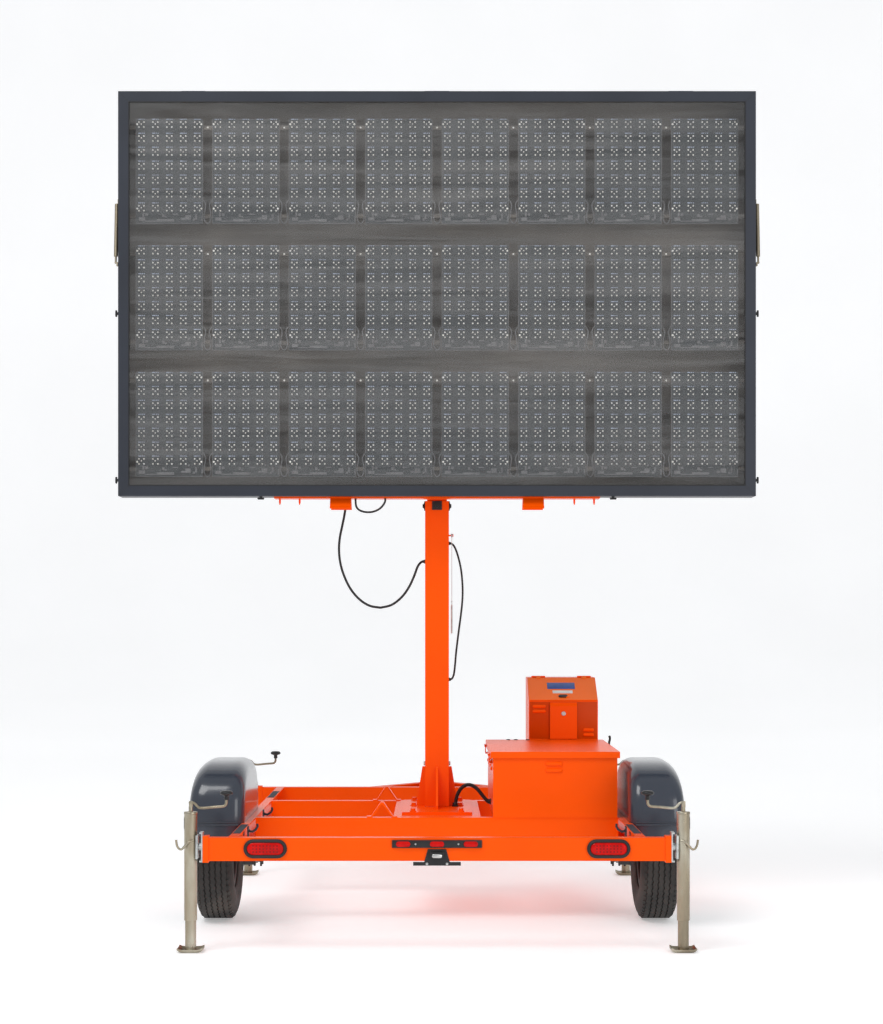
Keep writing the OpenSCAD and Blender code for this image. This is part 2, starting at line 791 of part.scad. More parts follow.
// Half of a fender's outline across the trailer, from its inner edge at 0, less a wall of t.
function fender_across(t) = [
    [t, fender_low - (t > 0 ? 1 : 0)], [fender_w - t, fender_low - (t > 0 ? 1 : 0)],
    [fender_w - 4 - t, fender_low + 137], [fender_w - 18 - t, fender_top - 70],
    [fender_w - 44 - 0.7 * t, fender_top - 18 - 0.5 * t], [fender_w - 92, fender_top - t], [t, fender_top - t]
];

// The outline along the trailer, with rounded shoulders.
function fender_along(t) =
    let (shoulder = 170, half = fender_len / 2 - t, top = fender_top - t)
    concat(
        [[-half, fender_low - 1], [half, fender_low - 1]],
        [for (a = [0:15:90]) [
            half - 12 - shoulder * (1 - cos(a)) * 1.1, top - shoulder * (1 - sin(a))
        ]],
        [for (a = [90:-15:0]) [
            -half + 12 + shoulder * (1 - cos(a)) * 1.1, top - shoulder * (1 - sin(a))
        ]]
    );

module fender_form(t) {
    intersection() {
        translate([fender_in, 0, 0]) front_plate(axle_y - fender_len, axle_y + fender_len, fender_across(t));
        translate([0, axle_y, 0]) side_plate(fender_in - 1, fender_in + fender_w + 1, fender_along(t));
    }
}

// Open-bottomed shells bolted to the rails by two brackets each.
module fenders() color(SLATE) from_rear()
    both_sides() {
        difference() {
            fender_form(0);
            fender_form(fender_t);
            block([fender_in - 1, fender_y - 5, fender_low - 2],
                  [fender_in + fender_w + 5, fender_y + fender_len + 5, fender_low]);
            block([fender_in - 1, fender_y - 5, fender_low - 2],
                  [rail_x + 1, fender_y + fender_len + 5, frame_top]);
        }
        for (y = [fender_y + 90, fender_y + fender_len - 130]) {
            block([rail_x, y, frame_top - 60], [rail_x + 5, y + 40, frame_top + 60]);
            block([fender_in + fender_t, y, frame_top + 55], [rail_x, y + 40, frame_top + 60]);
        }
    }

// A rim section across the wheel, turned about X, with the disc, hub and nuts.
module wheel_form() {
    half = tyre_w / 2;
    tread = 0.395 * tyre_w;
    rim_w = 0.36 * tyre_w;
    bead_r = rim_r + 0.2;
    rotate([0, 90, 0]) {
        rotate_extrude()
            polygon([
                [bead_r, -rim_w], [rim_r + 22, -half + 12], [rim_r + 62, -half], [tyre_r - 62, -half + 3],
                [tyre_r - 22, -half + 12], [tyre_r - 5, -tread], [tyre_r, -tread + 14],
                [tyre_r, tread - 14], [tyre_r - 5, tread], [tyre_r - 22, half - 12],
                [tyre_r - 62, half - 3], [rim_r + 62, half], [rim_r + 22, half - 12], [bead_r, rim_w]
            ]);
        rotate_extrude()
            polygon([
                [spindle_r + run_gap, -52], [58, -52], [58, -4], [150, 8], [rim_r - 30, 18],
                [rim_r - 24, -rim_w - 4], [rim_r, -rim_w - 10], [rim_r, rim_w + 10],
                [rim_r - 8, rim_w + 10], [rim_r - 24, rim_w - 20], [rim_r - 30, 26], [150, 16],
                [48, 8], [48, 66], [spindle_r + run_gap, 66]
            ]);
        for (a = [0:60:300]) rotate(a) translate([76, 0, 8]) cylinder(h = 20, r = 11, $fn = 6);
        translate([0, 0, 62]) cylinder(h = 12, r = 32);
    }
}

module wheel_right() color(BLACK) from_rear() translate([wheel_x, axle_y, wheel_z]) wheel_form();

module wheel_left() color(BLACK) from_rear()
    mirror([1, 0, 0]) translate([wheel_x, axle_y, wheel_z]) wheel_form();

// ---------- jacks ----------

// Jack 1 is rear left, 2 rear right, 3 front left and 4 front right.
module at_jack(number) {
    side = number % 2 == 1 ? -1 : 1;
    front = number > 2;
    translate([0, jack_ys[front ? 1 : 0], 0]) mirror([side < 0 ? 1 : 0, 0, 0]) children();
}

pivot_r = 16;
mount_in = cap_x;
mount_out = jack_x - jack_r - 6;

// A galvanised channel bolted to each end cap, with the stub that its jack swings on.
module jack_mounts() color(ZINC) from_rear()
    for (number = [1:4]) at_jack(number) {
        low = jack_pivot_z - mount_h / 2;
        difference() {
            block([mount_in, -32, low], [mount_out - 7, 32, low + mount_h]);
            block([mount_in + 6, -33, low + 7], [mount_out - 6, 33, low + mount_h - 7]);
        }
        rod_x(mount_in + 6, mount_out, 0, jack_pivot_z, pivot_r);
    }

module jack_tube(number) color(ZINC) from_rear() at_jack(number) {
    translate([jack_x, 0, jack_low])
        difference() {
            cylinder(h = jack_len, r = jack_r);
            translate([0, 0, -1]) cylinder(h = jack_len - 6, r = leg_r + run_gap);
        }
    // the swivel plate faces the mount's stub
    difference() {
        block([mount_out - 6 + 0.3, -30, jack_pivot_z - 52], [jack_x - jack_r + 6, 30, jack_pivot_z + 52]);
        rod_x(mount_out - 20, mount_out + 0.3, 0, jack_pivot_z, pivot_r + run_gap);
        translate([jack_x, 0, jack_low]) cylinder(h = jack_len, r = jack_r - 1);
    }
    // the pull pin's bent handle
    swept([
        [jack_x - 12, -jack_r + 1, jack_pivot_z + 30], [jack_x + 4, -jack_r - 7, jack_pivot_z + 24],
        [jack_x + 24, -jack_r - 7, jack_pivot_z + 4], [jack_x + 36, -jack_r - 7, jack_pivot_z - 8],
        [jack_x + 48, -jack_r - 7, jack_pivot_z - 4], [jack_x + 56, -jack_r - 7, jack_pivot_z + 10],
        [jack_x + 60, -jack_r - 7, jack_pivot_z + 34]
    ], 5, [0, 1, 0.1], 8);
    translate([jack_x, 0, jack_top]) cylinder(h = 5, r = jack_r + 1.5);
}

module jack_leg(number) color(ZINC) from_rear() at_jack(number)
    translate([jack_x, 0, 0]) {
        difference() {
            translate([0, 0, foot_t]) cylinder(h = leg_len, r = leg_r);
            translate([0, 0, foot_t + 6]) cylinder(h = leg_len, r = leg_r - leg_t);
        }
        difference() {
            rotate(45) cylinder(h = 16, d1 = (foot_w - 36) * sqrt(2), d2 = foot_w * sqrt(2), $fn = 4);
            translate([0, 0, foot_t]) rotate(45)
                cylinder(h = 16, d1 = (foot_w - 36) * sqrt(2), d2 = foot_w * sqrt(2), $fn = 4);
            translate([0, 0, foot_t]) cylinder(h = 20, r = leg_r);
        }
    }

// A crank on each jack's head: clevis, bent arm and mushroom knob.
module jack_crank(number) color(ZINC) from_rear() at_jack(number) {
    inward = -crank_reach;
    translate([jack_x, 0, 0]) {
        translate([0, 0, jack_top + 5.3]) cylinder(h = 24, r = 9);
        block([-7, -8, jack_top + 29.3], [7, 8, crank_z + 6]);
        swept([
            [7, 0, crank_z - 2], [-14, 0, crank_z - 4], [-26, 0, crank_z - 14], [-36, 0, crank_z - 21],
            [-90, 0, crank_z - 18], [inward + 16, 0, crank_z - 14], [inward + 4, 0, crank_z - 8],
            [inward, 0, crank_z + 4], [inward, 0, crank_z + 16]
        ], 6, [0, 1, 0], 8);
        translate([inward, 0, crank_z + 14]) {
            cylinder(h = 20, r = 11);
            translate([0, 0, 20]) cylinder(h = 8, r1 = 20, r2 = 28.5);
            translate([0, 0, 28]) cylinder(h = 12, r1 = 28.5, r2 = 20);
        }
    }
}

// ---------- tongue ----------

tongue_low = frame_z + 13;

module tongue() color(ORANGE) from_rear()
    tube_y([-tongue_w / 2, frame_len, tongue_low], [tongue_w / 2, tongue_y, tongue_low + 76], beam_t);

// Two braces from the front beam to the tongue.
module tongue_braces() color(ORANGE) from_rear()
    both_sides()
        difference() {
            translate([0, 0, tongue_low + 8])
                linear_extrude(60)
                    polygon([
                        [brace_spread, frame_len], [brace_spread + 60, frame_len],
                        [tongue_w / 2, frame_len + 700], [tongue_w / 2, frame_len + 620]
                    ]);
            translate([0, 0, tongue_low + 14])
                linear_extrude(48)
                    polygon([
                        [brace_spread - 12, frame_len - 1], [brace_spread + 46, frame_len - 1],
                        [tongue_w / 2 - 1, frame_len + 684], [tongue_w / 2 - 1, frame_len + 600]
                    ]);
        }

socket_y = front_end - tongue_w / 2 - 6;
coupler_z = tongue_low + 38;

// A ball coupler: a channel that sleeves the tongue, and a head with the ball's socket.
module coupler() color(BLACK) from_rear() {
    side = tongue_w / 2 + 6;
    difference() {
        block([-side, tongue_y - 120, tongue_low - 2], [side, tongue_y, tongue_low + 82]);
        block([-tongue_w / 2, tongue_y - 121, tongue_low - 3], [tongue_w / 2, tongue_y + 1, tongue_low + 76]);
    }
    difference() {
        block([-side, tongue_y, coupler_z - 4], [side, socket_y, coupler_z + 44]);
        block([-side + 8, tongue_y - 1, coupler_z - 5], [side - 8, socket_y - 50, coupler_z + 34]);
        translate([0, socket_y, coupler_z - 5]) cylinder(h = 42, r = socket_r);
        block([-11, socket_y - 96, coupler_z + 30], [11, socket_y - 40, coupler_z + 45]);
    }
    difference() {
        translate([0, socket_y, coupler_z - 4]) cylinder(h = 48, r = side);
        translate([0, socket_y, coupler_z - 5]) cylinder(h = 42, r = socket_r);
        block([-side - 1, socket_y - side - 1, coupler_z - 5], [side + 1, socket_y, coupler_z + 45]);
    }
    for (x = [-11 - 6, 11])
        side_plate(x, x + 6, [
            [socket_y - 100, coupler_z + 44], [socket_y - 40, coupler_z + 44],
            [socket_y - 56, coupler_z + 70], [socket_y - 84, coupler_z + 70]
        ]);
    rod_x(-17, 17, socket_y - 70, coupler_z + 58, 5);
}

// The lever that locks the ball in.
module coupler_latch() color(ZINC) from_rear()
    difference() {
        side_plate(-10.5, 10.5, [
            [socket_y - 80, coupler_z + 46], [socket_y - 58, coupler_z + 46],
            [socket_y - 56, coupler_z + 68], [socket_y - 150, coupler_z + 100],
            [socket_y - 154, coupler_z + 92]
        ]);
        rod_x(-12, 12, socket_y - 70, coupler_z + 58, 5 + run_gap);
    }

// ---------- lights ----------

tail_z = frame_z + 54;

// An oval pad on the rear beam's face; d is how far it stands out.
module oval(length, height, d) {
    r = height / 2;
    block([-length / 2 + r, -d, -r], [length / 2 - r, 0, r]);
    for (side = [-1, 1]) translate([side * (length / 2 - r), 0, 0]) rotate([90, 0, 0]) cylinder(h = d, r = r);
}

// Oval tail lights in rubber grommets, and a bar with three small lamps.
module rear_lights() color(RED) from_rear() {
    both_sides() translate([tail_pitch / 2, 0, tail_z]) {
        oval(tail_len, tail_h, 12);
        translate([0, -12, 0]) oval(tail_len - 25, tail_h - 26, 4);
    }
    translate([0, 0, frame_z + 75]) {
        block([-id_len / 2, -10, -17], [id_len / 2, 0, 17]);
        for (x = [-148, 0, 148]) translate([x, -10, 0]) oval(63, 24, 10);
    }
}

// A number plate holder that hangs from the rear beam, with its lamp.
module plate_bracket() color(BLACK) from_rear() {
    front_plate(-4, 0, [
        [-56, frame_z - 4], [56, frame_z - 4], [40, frame_z + 52], [-40, frame_z + 52]
    ]);
    block([-104.5, -4, frame_z - 20], [104.5, 0, frame_z - 4]);
    block([-31, -24, frame_z + 14], [31, -4, frame_z + 40]);
}

// ---------- battery box ----------

// An open-topped sheet metal box, with the hinge's pin and knuckles and the latch's lug.
module battery_box() color(ORANGE) from_rear() {
    top = box_top - sheet_t - 0.3;
    difference() {
        block([box_x, box_back, frame_top], [box_x1, box_front, top]);
        block([box_x + sheet_t, box_back + sheet_t, frame_top + sheet_t],
              [box_x1 - sheet_t, box_front - sheet_t, top + 1]);
    }
    for (y = lid_hinge_ys) {
        for (side = [-1, 1]) translate([0, y + side * 40, 0]) {
            rod_y(lid_hinge_x, -19.5, 19.5, lid_hinge_z, 5.5);
            block([lid_hinge_x, -19.5, lid_hinge_z - 6 - lid_skirt], [lid_hinge_x + 3, 19.5, lid_hinge_z - 3]);
            block([lid_hinge_x, -19.5, lid_hinge_z - 9 - lid_skirt], [box_x, 19.5, lid_hinge_z - 6 - lid_skirt]);
        }
        rod_y(lid_hinge_x, y - 50, y + 50, lid_hinge_z, 3);
    }
    for (y = [latch_y - 22, latch_y + 14])
        block([box_x1, y, latch_z - 12], [box_x1 + 20, y + 8, latch_z + 10]);
    rod_y(box_x1 + 13, latch_y - 22, latch_y + 22, latch_z, 4);
}

lid_hinge_ys = [box_back + 150, box_front - 150];
latch_y = box_front - 220;
latch_z = box_top - 90;

module battery_lid() color(ORANGE) from_rear() {
    low = box_top - lid_skirt;
    difference() {
        block([box_x - lid_over, box_back - lid_over, low], [box_x1 + lid_over, box_front + lid_over, box_top]);
        block([box_x - lid_over + sheet_t, box_back - lid_over + sheet_t, low - 1],
              [box_x1 + lid_over - sheet_t, box_front + lid_over - sheet_t, box_top - sheet_t]);
    }
    for (y = lid_hinge_ys)
        difference() {
            union() {
                rod_y(lid_hinge_x, y - 19.5, y + 19.5, lid_hinge_z, 5.5);
                block([lid_hinge_x, y - 19.5, lid_hinge_z + 1], [box_x - lid_over, y + 19.5, lid_hinge_z + 5.5]);
            }
            rod_y(lid_hinge_x, y - 21, y + 21, lid_hinge_z, 3 + run_gap);
        }
    block([box_x1 + lid_over, latch_y - 12, low + 2], [box_x1 + lid_over + 4, latch_y + 12, low + 8]);
}

// The black lever that pulls the lid shut.
module lid_latch() color(BLACK) from_rear() {
    x = box_x1 + 13;
    difference() {
        union() {
            rod_y(x, latch_y - 13.5, latch_y + 13.5, latch_z, 7);
            block([x, latch_y - 13.5, latch_z], [x + 7, latch_y + 13.5, box_top - lid_skirt + 1]);
        }
        rod_y(x, latch_y - 15, latch_y + 15, latch_z, 4 + run_gap);
    }
    block([x + 7, latch_y - 13.5, latch_z + 4], [x + 14, latch_y + 13.5, box_top - lid_skirt + 20]);
}

// Six batteries in two rows on the floor of the box.
module batteries() color(GREY) from_rear() {
    cell = [210, 260, 200];
    gap_y = 30;
    first_y = (box_back + box_front) / 2 - 1.5 * cell.y - gap_y;
    for (col = [0:1])
        for (row = [0:2])
            translate([
                box_x + box_w / 2 - cell.x - 30 + col * (cell.x + 60),
                first_y + row * (cell.y + gap_y), frame_top + sheet_t
            ]) {
                cube(cell);
                for (x = [35, 175]) translate([x, 60, cell.z]) cylinder(h = 18, r = 9);
            }
}

// ---------- control cabinet ----------

// The cabinet's outline in Y and Z, set in by t.
function cabinet_outline(t) = [
    [cabinet_y0 + t, frame_top + t], [cabinet_y1 - t, frame_top + t], [cabinet_y1 - t, cabinet_top - t],
    [cabinet_y0 + slope_d + t / 3, cabinet_top - t], [cabinet_y0 + t, face_top - 0.6 * t]
];
slope_len = norm([slope_d, slope_h]);
slope_angle = atan2(slope_h, slope_d);
flap_t = 3;
flap_gap = 0.4;

// A sheet metal housing, open under its sloping flap, with the raised cover on its rear face.
module control_cabinet() color(ORANGE) from_rear() {
    difference() {
        side_plate(cabinet_x0, cabinet_x1, cabinet_outline(0));
        side_plate(cabinet_x0 + sheet_t, cabinet_x1 - sheet_t, cabinet_outline(sheet_t));
        on_slope() block([12, 12, -30], [cabinet_w - 12, slope_len - 25, 30]);
    }
    cover_x = (cabinet_x0 + cabinet_x1) / 2;
    block([cover_x - 72, cabinet_y0 - 6.5, frame_top + 317], [cover_x + 72, cabinet_y0, face_top - 9]);
    rod_y(cover_x, cabinet_y0 - 9, cabinet_y0 - 6.5, face_top - 45, 12);
    // the hinge's fixed knuckles stand at the slope's upper edge
    for (x = [60, cabinet_w - 60])
        for (side = [-1, 1])
            translate([cabinet_x0 + x + side * 25, 0, 0]) {
                rod_x(-12, 12, flap_hinge_y, flap_hinge_z, 5);
                block([-12, flap_hinge_y, cabinet_top], [12, flap_hinge_y + 16, cabinet_top + 3]);
            }
    for (x = [60, cabinet_w - 60])
        rod_x(cabinet_x0 + x - 30, cabinet_x0 + x + 30, flap_hinge_y, flap_hinge_z, 2.5);
}

flap_hinge_y = cabinet_y0 + slope_d;
flap_hinge_z = cabinet_top + 5;

// Draws on the sloping face: x across it, y up it, z out of it.
module on_slope() {
    translate([cabinet_x0, cabinet_y0, face_top]) rotate([slope_angle, 0, 0]) children();
}

// The sloping flap over the keyboard space, with its oval lock.
module cabinet_flap() color(ORANGE) from_rear() {
    on_slope() {
        block([2, 3, flap_gap], [cabinet_w - 2, slope_len - 8, flap_gap + flap_t]);
        translate([cabinet_w / 2, 36, flap_gap + flap_t]) {
            cylinder(h = 5, r = 11);
            block([0, -11, 0], [26, 11, 5]);
            translate([26, 0, 0]) cylinder(h = 5, r = 11);
        }
    }
    for (x = [60, cabinet_w - 60])
        translate([cabinet_x0 + x, 0, 0])
            difference() {
                union() {
                    rod_x(-12, 12, flap_hinge_y, flap_hinge_z, 5);
                    side_plate(-12, 12, [
                        [flap_hinge_y - 18, cabinet_top - 7], [flap_hinge_y - 12, cabinet_top - 5],
                        [flap_hinge_y - 3, flap_hinge_z - 1], [flap_hinge_y - 3, flap_hinge_z + 4],
                        [flap_hinge_y - 20, cabinet_top - 4]
                    ]);
                }
                rod_x(-13, 13, flap_hinge_y, flap_hinge_z, 2.5 + run_gap);
            }
}

// The sign's computer and charge controller, on the cabinet's floor.
module control_unit() color(GREY) from_rear() {
    floor_z = frame_top + sheet_t;
    block([cabinet_x0 + 40, cabinet_y0 + 140, floor_z], [cabinet_x1 - 40, cabinet_y1 - 40, floor_z + 260]);
    block([cabinet_x0 + 60, cabinet_y0 + 200, floor_z + 260], [cabinet_x1 - 60, cabinet_y1 - 80, floor_z + 330]);
}

// ---------- cables ----------

// A ribbed hose from the mast's foot to the battery box, and the lead beside it.
conduit_path = [
    [92, 1400, 522], [96, 1400, 548], [104, 1398, 578], [118, 1394, 604], [138, 1388, 622],
    [162, 1382, 628], [186, 1376, 620], [206, 1370, 604], [224, 1366, 582], [240, 1364, 562],
    [254, 1363, 548], [262, 1363, 546], [270, 1363, 545.5]
];
mast_cable_path = [
    [60, 1440, 1846], [70, 1440, 1846], [84, 1440, 1836], [97, 1440, 1810], [109, 1440, 1772],
    [120, 1440, 1724], [127, 1440, 1668], [130, 1440, 1610], [128, 1440, 1550], [121, 1440, 1484],
    [112, 1440, 1416], [103, 1440, 1346], [96, 1440, 1284], [91, 1440, 1226], [86, 1440, 1186],
    [78, 1440, 1164], [68, 1440, 1157], [60, 1440, 1157]
];
display_cable_path = [
    [-446, 1255.5, 2206], [-446, 1268, 2206], [-446, 1282, 2201], [-446, 1292, 2190], [-447, 1298, 2172],
    [-448, 1300, 2130], [-451, 1299, 2080], [-456, 1297, 2030], [-463, 1295, 1980], [-474, 1294, 1926],
    [-486, 1296, 1866], [-490, 1303, 1806], [-484, 1314, 1744], [-466, 1330, 1680],
    [-434, 1346, 1614], [-390, 1362, 1562], [-340, 1380, 1530],
    [-285, 1394, 1520], [-230, 1406, 1534], [-180, 1416, 1572], [-142, 1424, 1624], [-116, 1431, 1680],
    [-100, 1437, 1724], [-86, 1440, 1746], [-74, 1440, 1754], [-68, 1440, 1754], [-60, 1440, 1754]
];
display_loop_path = [
    [-402, 1172, 2058], [-402, 1172, 2044], [-399, 1172, 2020], [-388, 1172, 2004], [-368, 1172, 1994],
    [-342, 1172, 1990], [-314, 1172, 1993], [-288, 1172, 2004], [-268, 1172, 2022], [-256, 1172, 2044],
    [-256, 1172, 2058]
];

// The hose with its gland on the base plate, and the mast's own lead.
module mast_cables() color(BLACK) from_rear() {
    swept(conduit_path, 10, [0.1, 1, 0]);
    translate([92, 1400, base_z]) cylinder(h = 6, r = 15);
    swept(mast_cable_path, 5, [0, 1, 0], 8);
}

// The display's lead down to the mast, and a short loop under the case.
module display_cable() color(BLACK) from_rear() {
    swept(display_cable_path, 6, [0.3, 1, 0.2], 8);
    swept(display_loop_path, 5, [0, 1, 0], 8);
}

// The mast's lock pin, hanging by its wire from an eye on the mast.
lock_eye_z = 1885;
lock_pin_x = mast_w / 2 + 15;
lock_pin_y = mast_y - 32;
lock_stud_r = 4;

module lock_pin() color(ZINC) from_rear() translate([lock_pin_x, lock_pin_y, 0]) {
    difference() {
        rod_x(-4, 4, 0, lock_eye_z, lock_stud_r + 5);
        rod_x(-5, 5, 0, lock_eye_z, lock_stud_r + run_gap);
    }
    translate([0, 0, 1552]) cylinder(h = lock_eye_z - 1552 - 8, r = 1.5);
    difference() {
        rod_x(-2.5, 2.5, 0, 1542, 12);
        rod_x(-3, 3, 0, 1542, 8);
    }
    translate([0, 0, 1390]) cylinder(h = 141, r = 4.5);
}

// ---------- what is drawn ----------

rear_beam();
front_beam();
crossmembers();
side_rails();
floor_plates();
deck_fittings();
rest_cradles();
mast_base();
mast_outer();
mast_pads();
lift_cylinder();
axle();
leaf_springs();
fenders();
rear_lights();
plate_bracket();
battery_box();
batteries();
control_cabinet();
control_unit();
tongue();
tongue_braces();
coupler();
jack_mounts();
mast_cables();
display_cable();
mast_inner();
display_case();
display_boards();
display_beam();
display_spine();
display_door();
door_glass();
side_knob(-1, knob_side_zs[1]);  // knob_upper_left
side_knob(1, knob_side_zs[1]);  // knob_upper_right
side_knob(-1, knob_side_zs[0]);  // knob_lower_left
side_knob(1, knob_side_zs[0]);  // knob_lower_right
bottom_knob(-1);  // knob_bottom_left
bottom_knob(1);  // knob_bottom_right
strut_tubes();
strut_rods();
wheel_left();
wheel_right();
jack_tube(1);  // jack_tube_1
jack_tube(2);  // jack_tube_2
jack_tube(3);  // jack_tube_3
jack_tube(4);  // jack_tube_4
jack_leg(1);  // jack_leg_1
jack_leg(2);  // jack_leg_2
jack_leg(3);  // jack_leg_3
jack_leg(4);  // jack_leg_4
battery_lid();
lid_latch();
cabinet_flap();
coupler_latch();
lock_pin();
jack_crank(1);  // jack_crank_1
jack_crank(2);  // jack_crank_2
jack_crank(3);  // jack_crank_3
jack_crank(4);  // jack_crank_4
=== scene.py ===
"""Looks of a portable message sign trailer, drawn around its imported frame."""
from math import copysign, cos, pi, radians, sin, tau

import bmesh
import bpy
from bpy.props import FloatProperty, FloatVectorProperty, IntProperty, PointerProperty
from mathutils import Matrix, Vector


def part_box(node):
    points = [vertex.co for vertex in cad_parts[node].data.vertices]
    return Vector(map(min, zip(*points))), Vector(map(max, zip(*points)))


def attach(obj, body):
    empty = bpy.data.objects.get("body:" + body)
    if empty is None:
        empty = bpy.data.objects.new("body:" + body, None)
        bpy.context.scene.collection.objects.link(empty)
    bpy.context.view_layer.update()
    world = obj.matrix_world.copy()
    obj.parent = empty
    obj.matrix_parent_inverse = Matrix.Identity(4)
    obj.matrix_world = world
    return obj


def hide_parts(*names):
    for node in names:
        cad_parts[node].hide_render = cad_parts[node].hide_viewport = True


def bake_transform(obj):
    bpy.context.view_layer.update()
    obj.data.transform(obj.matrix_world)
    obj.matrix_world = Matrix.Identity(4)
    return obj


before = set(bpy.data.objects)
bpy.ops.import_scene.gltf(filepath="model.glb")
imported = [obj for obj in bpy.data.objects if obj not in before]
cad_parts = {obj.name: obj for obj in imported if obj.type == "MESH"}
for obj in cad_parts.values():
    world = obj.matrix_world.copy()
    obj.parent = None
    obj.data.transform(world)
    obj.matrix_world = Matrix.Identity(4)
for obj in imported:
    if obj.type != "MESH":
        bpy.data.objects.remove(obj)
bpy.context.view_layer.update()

bl_info = {
    "name": "Message Sign Trailer",
    "version": (1, 0, 0),
    "blender": (4, 5, 0),
    "location": "3D View > Sidebar > Sign Trailer",
    "description": "Finishes and detail for a portable message sign trailer",
    "category": "Object",
}

MM = 0.001
# How far the rear beam's end caps stand behind its rear face
CAP_LIP = 4 * MM
REAR_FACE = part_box("rear_beam")[0].y + CAP_LIP
SIDES = (-1, 1)
HANDS = ((-1, "left"), (1, "right"))
# A turned shape's radius at its axis, so small that the tip closes
TIP = 1e-6
# Points nearer than this become one
SEAM = 0.02 * MM
SHARP_ANGLE = radians(35)


def at(x, y, z):
    """A place in millimetres: across, ahead of the rear beam's rear face, and above the ground."""
    return Vector((x * MM, REAR_FACE + y * MM, z * MM))


def mm(points):
    """Points that are given in millimetres."""
    return [tuple(value * MM for value in point) for point in points]


# ---------- settings ----------

class PaintSettings(bpy.types.PropertyGroup):
    orange: FloatVectorProperty(name="Orange", description="Paint of the frame, mast and cabinets",
                                subtype="COLOR", size=3, min=0, max=1, default=(0.95, 0.088, 0.0))
    charcoal: FloatVectorProperty(name="Charcoal", description="Coating of the display's case and door",
                                  subtype="COLOR", size=3, min=0, max=1, default=(0.024, 0.028, 0.039))
    slate: FloatVectorProperty(name="Slate", description="Moulded plastic of the fenders",
                               subtype="COLOR", size=3, min=0, max=1, default=(0.030, 0.037, 0.052))
    board: FloatVectorProperty(name="Board", description="Coating of the character boards",
                               subtype="COLOR", size=3, min=0, max=1, default=(0.058, 0.064, 0.068))


class DisplaySettings(bpy.types.PropertyGroup):
    columns: IntProperty(name="Columns", description="Character boards in a line", default=8, min=1, max=12)
    lines: IntProperty(name="Lines", description="Lines of characters", default=3, min=1, max=4)
    dot_columns: IntProperty(name="Dot columns", description="Dots across a board", default=5, min=3, max=8)
    dot_rows: IntProperty(name="Dot rows", description="Dots up a board", default=7, min=5, max=12)
    dot_step: FloatProperty(name="Dot step", description="Distance between dots", default=0.0687,
                            min=0.03, max=0.08, unit="LENGTH")
    lamp_radius: FloatProperty(name="Lamp radius", description="Radius of one lamp", default=0.0043,
                               min=0.002, max=0.006, unit="LENGTH")


class TyreSettings(bpy.types.PropertyGroup):
    ribs: IntProperty(name="Ribs", description="Tread ribs across a tyre", default=5, min=3, max=7)
    zigzags: IntProperty(name="Zigzags", description="Zigzags around a rib", default=64, min=24, max=96)
    groove: FloatProperty(name="Groove", description="Depth of the tread", default=0.007,
                          min=0.003, max=0.012, unit="LENGTH")


class StageSettings(bpy.types.PropertyGroup):
    sun: FloatProperty(name="Key light", description="Power of the large soft key light", default=500,
                       min=0, unit="POWER")
    sky: FloatProperty(name="Sky", description="Strength of the even pale surround", default=0.62,
                       min=0, max=4)
    glow: FloatProperty(name="Floor glow", description="Light that the pale floor gives off itself",
                        default=0.30, min=0, max=2)
    lens: FloatProperty(name="Lens", description="Focal length of the camera", default=73.8,
                        min=20, max=200, unit="CAMERA")
    shift: FloatVectorProperty(name="Lens shift", size=2, default=(0.0044, 0.1074),
                               description="Shift across and up, as a share of the picture's longer side")


class TrailerSettings(bpy.types.PropertyGroup):
    paint: PointerProperty(type=PaintSettings, name="Paint", description="Colours")
    display: PointerProperty(type=DisplaySettings, name="Display", description="Character boards")
    tyre: PointerProperty(type=TyreSettings, name="Tyre", description="Tread")
    stage: PointerProperty(type=StageSettings, name="Stage", description="Light and camera")


# ---------- meshes ----------

def shade_faces(mesh, smooth):
    for face in mesh.polygons:
        face.use_smooth = smooth
    if smooth:
        mesh.set_sharp_from_angle(angle=SHARP_ANGLE)


def link(name, mesh, material, smooth=True):
    """Makes a mesh a piece of the scene, in one finish."""
    mesh.materials.clear()
    mesh.materials.append(material)
    shade_faces(mesh, smooth)
    piece = bpy.data.objects.new(name, mesh)
    bpy.context.scene.collection.objects.link(piece)
    return piece


def finish_mesh(name, bm, material, smooth=True):
    """Closes the seams of a drawn shape, turns its faces outwards and makes it a piece."""
    bmesh.ops.remove_doubles(bm, verts=bm.verts, dist=SEAM)
    bmesh.ops.recalc_face_normals(bm, faces=bm.faces)
    mesh = bpy.data.meshes.new(name)
    bm.to_mesh(mesh)
    bm.free()
    return link(name, mesh, material, smooth)


def add_loft(bm, rings, closed=True, caps=True):
    """Joins rings of points: closed joins each ring's ends, and caps fills the first and the last."""
    rows = [[bm.verts.new(p) for p in ring] for ring in rings]
    for low, high in zip(rows, rows[1:]):
        count = len(low)
        for i in range(count if closed else count - 1):
            j = (i + 1) % count
            bm.faces.new((low[i], low[j], high[j], high[i]))
    if caps:
        bm.faces.new(list(reversed(rows[0])))
        bm.faces.new(rows[-1])


def add_lathe(bm, profile, centre, axis=(0, 0, 1), steps=48):
    """Turns (radius, height) points around an axis through the centre."""
    turn = Vector((0, 0, 1)).rotation_difference(Vector(axis)).to_matrix()
    rings = []
    for radius, height in profile:
        ring = [Vector((radius * cos(tau * i / steps), radius * sin(tau * i / steps), height))
                for i in range(steps)]
        rings.append([Vector(centre) + turn @ p for p in ring])
    add_loft(bm, rings, caps=False)


